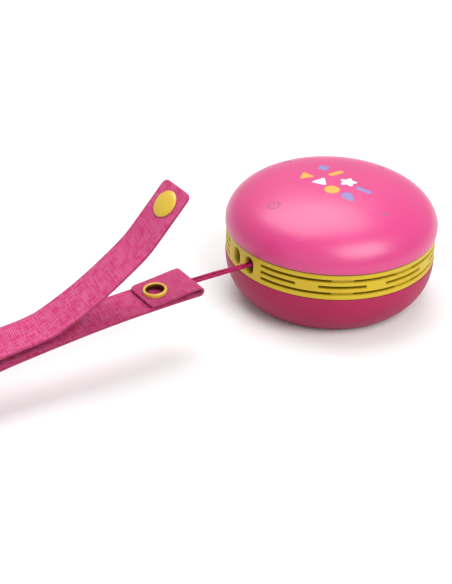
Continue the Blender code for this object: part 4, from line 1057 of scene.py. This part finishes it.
def button_marks(surface):
    """Power, minus, play and plus marks over the four buttons."""
    circle, lift, half_width = 30.8, 0.02 * MM, 0.46 * MM

    def at(degrees):
        return (circle * math.cos(math.radians(degrees)), circle * math.sin(math.radians(degrees)))

    power = at(214.5)
    ring = [(x * MM, y * MM) for x, y in arc(power, 2.2, 130, 410, 40)]
    swept_patch("mark_power_ring", ring, half_width, surface, lift)
    stem = [(power[0] * MM, (power[1] + y) * MM) for y in np.linspace(0.4, 2.9, 8)]
    swept_patch("mark_power_stem", stem, half_width, surface, lift)
    dome_patch("mark_minus", placed(bar_shape(0.26), at(312.0), 42, 4.2), surface, lift)
    dome_patch("mark_play", placed(triangle_shape(), at(43.0), -47, 4.0), surface, lift)
    for i, turn in enumerate((38, 128)):
        line = placed([(-0.5 + t / 8, 0.0) for t in range(9)], at(128.5), turn, 4.2)
        swept_patch(f"mark_plus_{i + 1}", line, 0.5 * MM, surface, lift * (1 + 0.5 * i))


# ---------------------------------------------------------------- port cover

def by_port(out, y, z):
    """The point this far out along the port's axis and this far beside it."""
    c, s = math.cos(PORT_AXIS), math.sin(PORT_AXIS)
    return Vector((out * c - y * s, out * s + y * c, z))


def shell_reach(y, z, inset):
    """How far out along the port's axis the shell's outside lies, less an inset into its wall."""
    share = min(max((LOWER_WAIST - z) / LOWER_DROP, 0.0), 1.0)
    cosine = math.sqrt(max(1 - share ** (2 / LOWER_POWERS[0]), 0.0))
    radius = LOWER_RADIUS * cosine ** LOWER_POWERS[1] - inset
    return math.sqrt(max(radius ** 2 - y ** 2, 0.0))


def port_cover(surface):
    """Flap and hinge strip in one rubber skin, grooved at the hinge, with a plug on its back."""
    half_y, half_z = (size / 2 - 0.18 * MM for size in COVER_SIZE)
    columns, rows = 64, 32
    thickness, corner, fillet, groove_width = 1.05 * MM, 1.5 * MM, 0.25 * MM, 0.35 * MM
    points = []
    for inner in (False, True):
        for z in np.linspace(-half_z, half_z, rows + 1):
            into_corner = max(abs(z) - (half_z - corner), 0.0)
            limit = half_y - corner + math.sqrt(max(corner ** 2 - into_corner ** 2, 0.0))
            for y in np.linspace(-half_y, half_y, columns + 1):
                beside = y * limit / half_y + COVER_SHIFT
                to_edge = min(half_y - abs(y), half_z - abs(z), fillet)
                rounding = fillet - math.sqrt(max(fillet ** 2 - (fillet - to_edge) ** 2, 0))
                groove = 0.35 * MM * math.exp(-((beside - COVER_HINGE) / groove_width) ** 2)
                depth = thickness - 0.05 * MM if inner else rounding + groove - 0.02 * MM
                height = PORT_LEVEL + z
                points.append(by_port(shell_reach(beside, height, depth), beside, height))
    mesh = mesh_from("port_flap", points, slab_faces(rows, columns))
    sharpen(mesh, 60)
    obj = new_object("port_flap", mesh, surface)
    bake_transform(obj)
    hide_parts("port_cover", "port_cover_anchor")
    port_plug(surface)


def slab_faces(rows, columns):
    """Faces of a slab whose points are two grids, the front one first."""
    index = np.arange(2 * (rows + 1) * (columns + 1)).reshape(2, rows + 1, columns + 1)
    faces = []
    for sheet in index:
        for i in range(rows):
            for j in range(columns):
                faces.append((sheet[i, j], sheet[i, j + 1], sheet[i + 1, j + 1], sheet[i + 1, j]))
    for side in (index[:, 0], index[:, rows], index[:, :, 0], index[:, :, columns]):
        front, back = side
        for k in range(len(front) - 1):
            faces.append((front[k], back[k], back[k + 1], front[k + 1]))
    return faces


def port_plug(surface):
    """Hollow rubber plug on the flap's back, with two sealing ribs."""
    outline = rounded_rectangle(PORT_SIZE[0] / 2 - 0.35 * MM, PORT_SIZE[1] / 2 - 0.35 * MM, 1.3 * MM, 8)
    # How far out along the port's axis, and how much wider than the outline, in millimetres.
    sections = [(43.1, 0.0), (42.5, 0.0), (42.3, 0.14), (42.1, 0.0), (41.7, 0.0), (41.5, 0.14)]
    sections += [(41.3, 0.0), (40.9, -0.15), (40.8, -0.6), (41.0, -1.1), (42.4, -1.1)]
    rings = []
    for out, grow in sections:
        ring = []
        for y, z in outline:
            wider = 1 + grow * MM / math.hypot(y, z)
            y2, height = y * wider, PORT_LEVEL + z * wider
            ring.append(by_port(min(out * MM, shell_reach(y2, height, 0.7 * MM)), y2, height))
        rings.append(ring)
    mesh = lofted_mesh("port_plug", rings)
    sharpen(mesh, 50)
    obj = new_object("port_plug", mesh, surface)
    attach(obj, "port_cover_body")


def port_frame(surface):
    """Moulded rim that lines the port's opening in the recess."""
    def ring(grow, back):
        outline = rounded_rectangle(PORT_SIZE[0] / 2 + grow, PORT_SIZE[1] / 2 + grow, 1.4 * MM + grow, 8)
        points = []
        for y, z in outline:
            height = PORT_LEVEL + z
            out = PORT_FRAME_BACK if back else shell_reach(y, height, 1.2 * MM)
            points.append(by_port(out, y, height))
        return points

    wide, narrow = 0.55 * MM, -0.15 * MM
    rings = [ring(wide, False), ring(narrow, False), ring(narrow, True), ring(wide, True)]
    mesh = lofted_mesh("port_frame", rings, joined=True)
    sharpen(mesh, 50)
    obj = new_object("port_frame", mesh, surface)
    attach(obj, "speaker")


# ---------------------------------------------------------------- materials of the CAD nodes

def cad_materials():
    """Each CAD node that still shows gets a finished material, by its slot."""
    finishes = {
        "dark_plastic": moulded("charcoal_plastic", (0.035, 0.035, 0.04), 0.5, depth=0.02 * MM),
        "black_rubber": moulded("black_elastomer", (0.018, 0.018, 0.018), 0.75, depth=0.03 * MM),
        "plated_steel": metal("nickel_plate", (0.72, 0.72, 0.74), 0.25),
        "ferrite": moulded("ferrite_block", (0.05, 0.05, 0.055), 0.6, grain=0.2 * MM, depth=0.03 * MM),
        "cone_paper": moulded("pressed_pulp", (0.03, 0.03, 0.033), 0.85, grain=0.25 * MM, depth=0.04 * MM),
        "copper": metal("copper_winding", (0.75, 0.38, 0.20), 0.3),
        "board_green": moulded("solder_mask", (0.02, 0.14, 0.06), 0.4),
        "switch_grey": moulded("switch_body", (0.16, 0.16, 0.18), 0.5),
        "cell_wrap": moulded("cell_sleeve", (0.03, 0.10, 0.35), 0.3),
        "lead_red": moulded("red_insulation", (0.42, 0.01, 0.01), 0.45),
        "lead_black": moulded("black_insulation", (0.015, 0.015, 0.015), 0.45),
        "acoustic_mesh": mesh_fabric("grille_cloth"),
    }
    slots = {entry["node"]: entry["material_slot"] for entry in frame["record"]["subparts"]}
    for node, obj in frame["nodes"].items():
        if slots[node] in finishes:
            obj.data.materials.clear()
            obj.data.materials.append(finishes[slots[node]].material)


# ---------------------------------------------------------------- stage

def area_light(name, azimuth, elevation, distance, size, power):
    """A rectangular lamp in a direction given in degrees, turned to the middle of the body."""
    azimuth, elevation = math.radians(azimuth), math.radians(elevation)
    level = math.cos(elevation)
    away = Vector((level * math.cos(azimuth), level * math.sin(azimuth), math.sin(elevation)))
    data = bpy.data.lights.new(name, "AREA")
    data.shape = "RECTANGLE"
    data.size, data.size_y = size
    data.energy = power
    obj = bpy.data.objects.new(name, data)
    obj.location = Vector((0, 0, 30 * MM)) + away * distance
    obj.rotation_euler = away.to_track_quat("Z", "Y").to_euler()
    bpy.context.scene.collection.objects.link(obj)


def stage():
    """Pale floor, soft light from above and behind, a lamp at the front right, a faint one at the left."""
    surface = Surface("pale_floor", 0.9, specular=0.1)
    surface.colour(surface.mix(surface.noise(60.0), (0.71, 0.71, 0.71), (0.73, 0.73, 0.73)))
    mesh = bpy.data.meshes.new("floor")
    mesh.from_pydata([(-3, -3, 0), (3, -3, 0), (3, 3, 0), (-3, 3, 0)], [], [(0, 1, 2, 3)])
    floor = new_object("floor", mesh, surface)
    world = bpy.data.worlds.new("studio")
    bpy.context.scene.world = world
    world.use_nodes = True
    background = world.node_tree.nodes["Background"]
    background.inputs["Color"].default_value = (1, 1, 1, 1)
    background.inputs["Strength"].default_value = 0.64
    area_light("overhead", 116, 68, 1.0, (0.95, 0.8), 9.8)
    area_light("front_right", -52, 44, 1.0, (0.75, 0.6), 8.6)
    area_light("front_left", -110, 18, 1.2, (1.0, 0.5), 0.8)
    bpy.context.scene.view_settings.view_transform = "Standard"


# ---------------------------------------------------------------- everything

def body():
    skin = moulded("soft_touch", (0.49, 0.030, 0.155), 0.33, 0.12 * MM, 0.006 * MM, 0.04, 0.03, 0.6)
    top_skin(skin)
    resin = moulded("band_resin", YELLOW, 0.42, grain=0.2 * MM, specular=0.3)
    # The band gets painted shade along its seams with the shells and in its slots.
    grille_band(paint_seam_and_slot_shade(resin, YELLOW))
    shell = moulded("shell_resin", (0.305, 0.011, 0.061), 0.45, 0.15 * MM, 0.008 * MM, specular=0.2)
    bottom_shell(shell)
    port_frame(shell)
    rubber = moulded("cover_rubber", (0.35, 0.016, 0.075), 0.6, 0.2 * MM, 0.015 * MM, specular=0.3)
    port_cover(rubber)


def lanyard_and_strap():
    lanyard_cord(braided("crimson_cord", (0.45, 0.008, 0.108), (0.11, 0.0005, 0.022), "cloth"))
    pinks = ((0.64, 0.120, 0.275), (0.57, 0.055, 0.180), (0.55, 0.014, 0.135))
    webbing = woven("slub_webbing", *pinks, "cloth")
    # This copy of the webbing paints shade on the tab; the other has none there.
    tab_shaded_webbing = woven("slub_webbing_shaded_tab", *pinks, "cloth", tab_shade=0.3)
    path = strap(webbing, tab_shaded_webbing)
    yellow = moulded("snap_enamel", (0.55, 0.37, 0.028), 0.28, grain=0.8 * MM, depth=0.004 * MM)
    steel = metal("snap_metal", (0.80, 0.62, 0.20), 0.3)
    # A dark metal whose colour paints the shade inside the socket's barrel.
    barrel_shade = metal("snap_barrel", (0.16, 0.095, 0.035), 0.5)
    snap_socket(path, yellow, steel, barrel_shade)
    snap_cap(path, yellow, steel)


def prints():
    colours = {
        "print_orange": (0.78, 0.29, 0.035),
        "print_white": (0.66, 0.60, 0.66),
        "print_lilac": (0.20, 0.16, 0.38),
        "mark_ink": (0.31, 0.068, 0.14),
    }
    *inks, mark = (moulded(name, colour, 0.5, depth=0.004 * MM) for name, colour in colours.items())
    confetti(*inks)
    button_marks(mark)


def build():
    camera()
    lanyard_and_strap()
    body()
    prints()
    cad_materials()
    stage()


build()
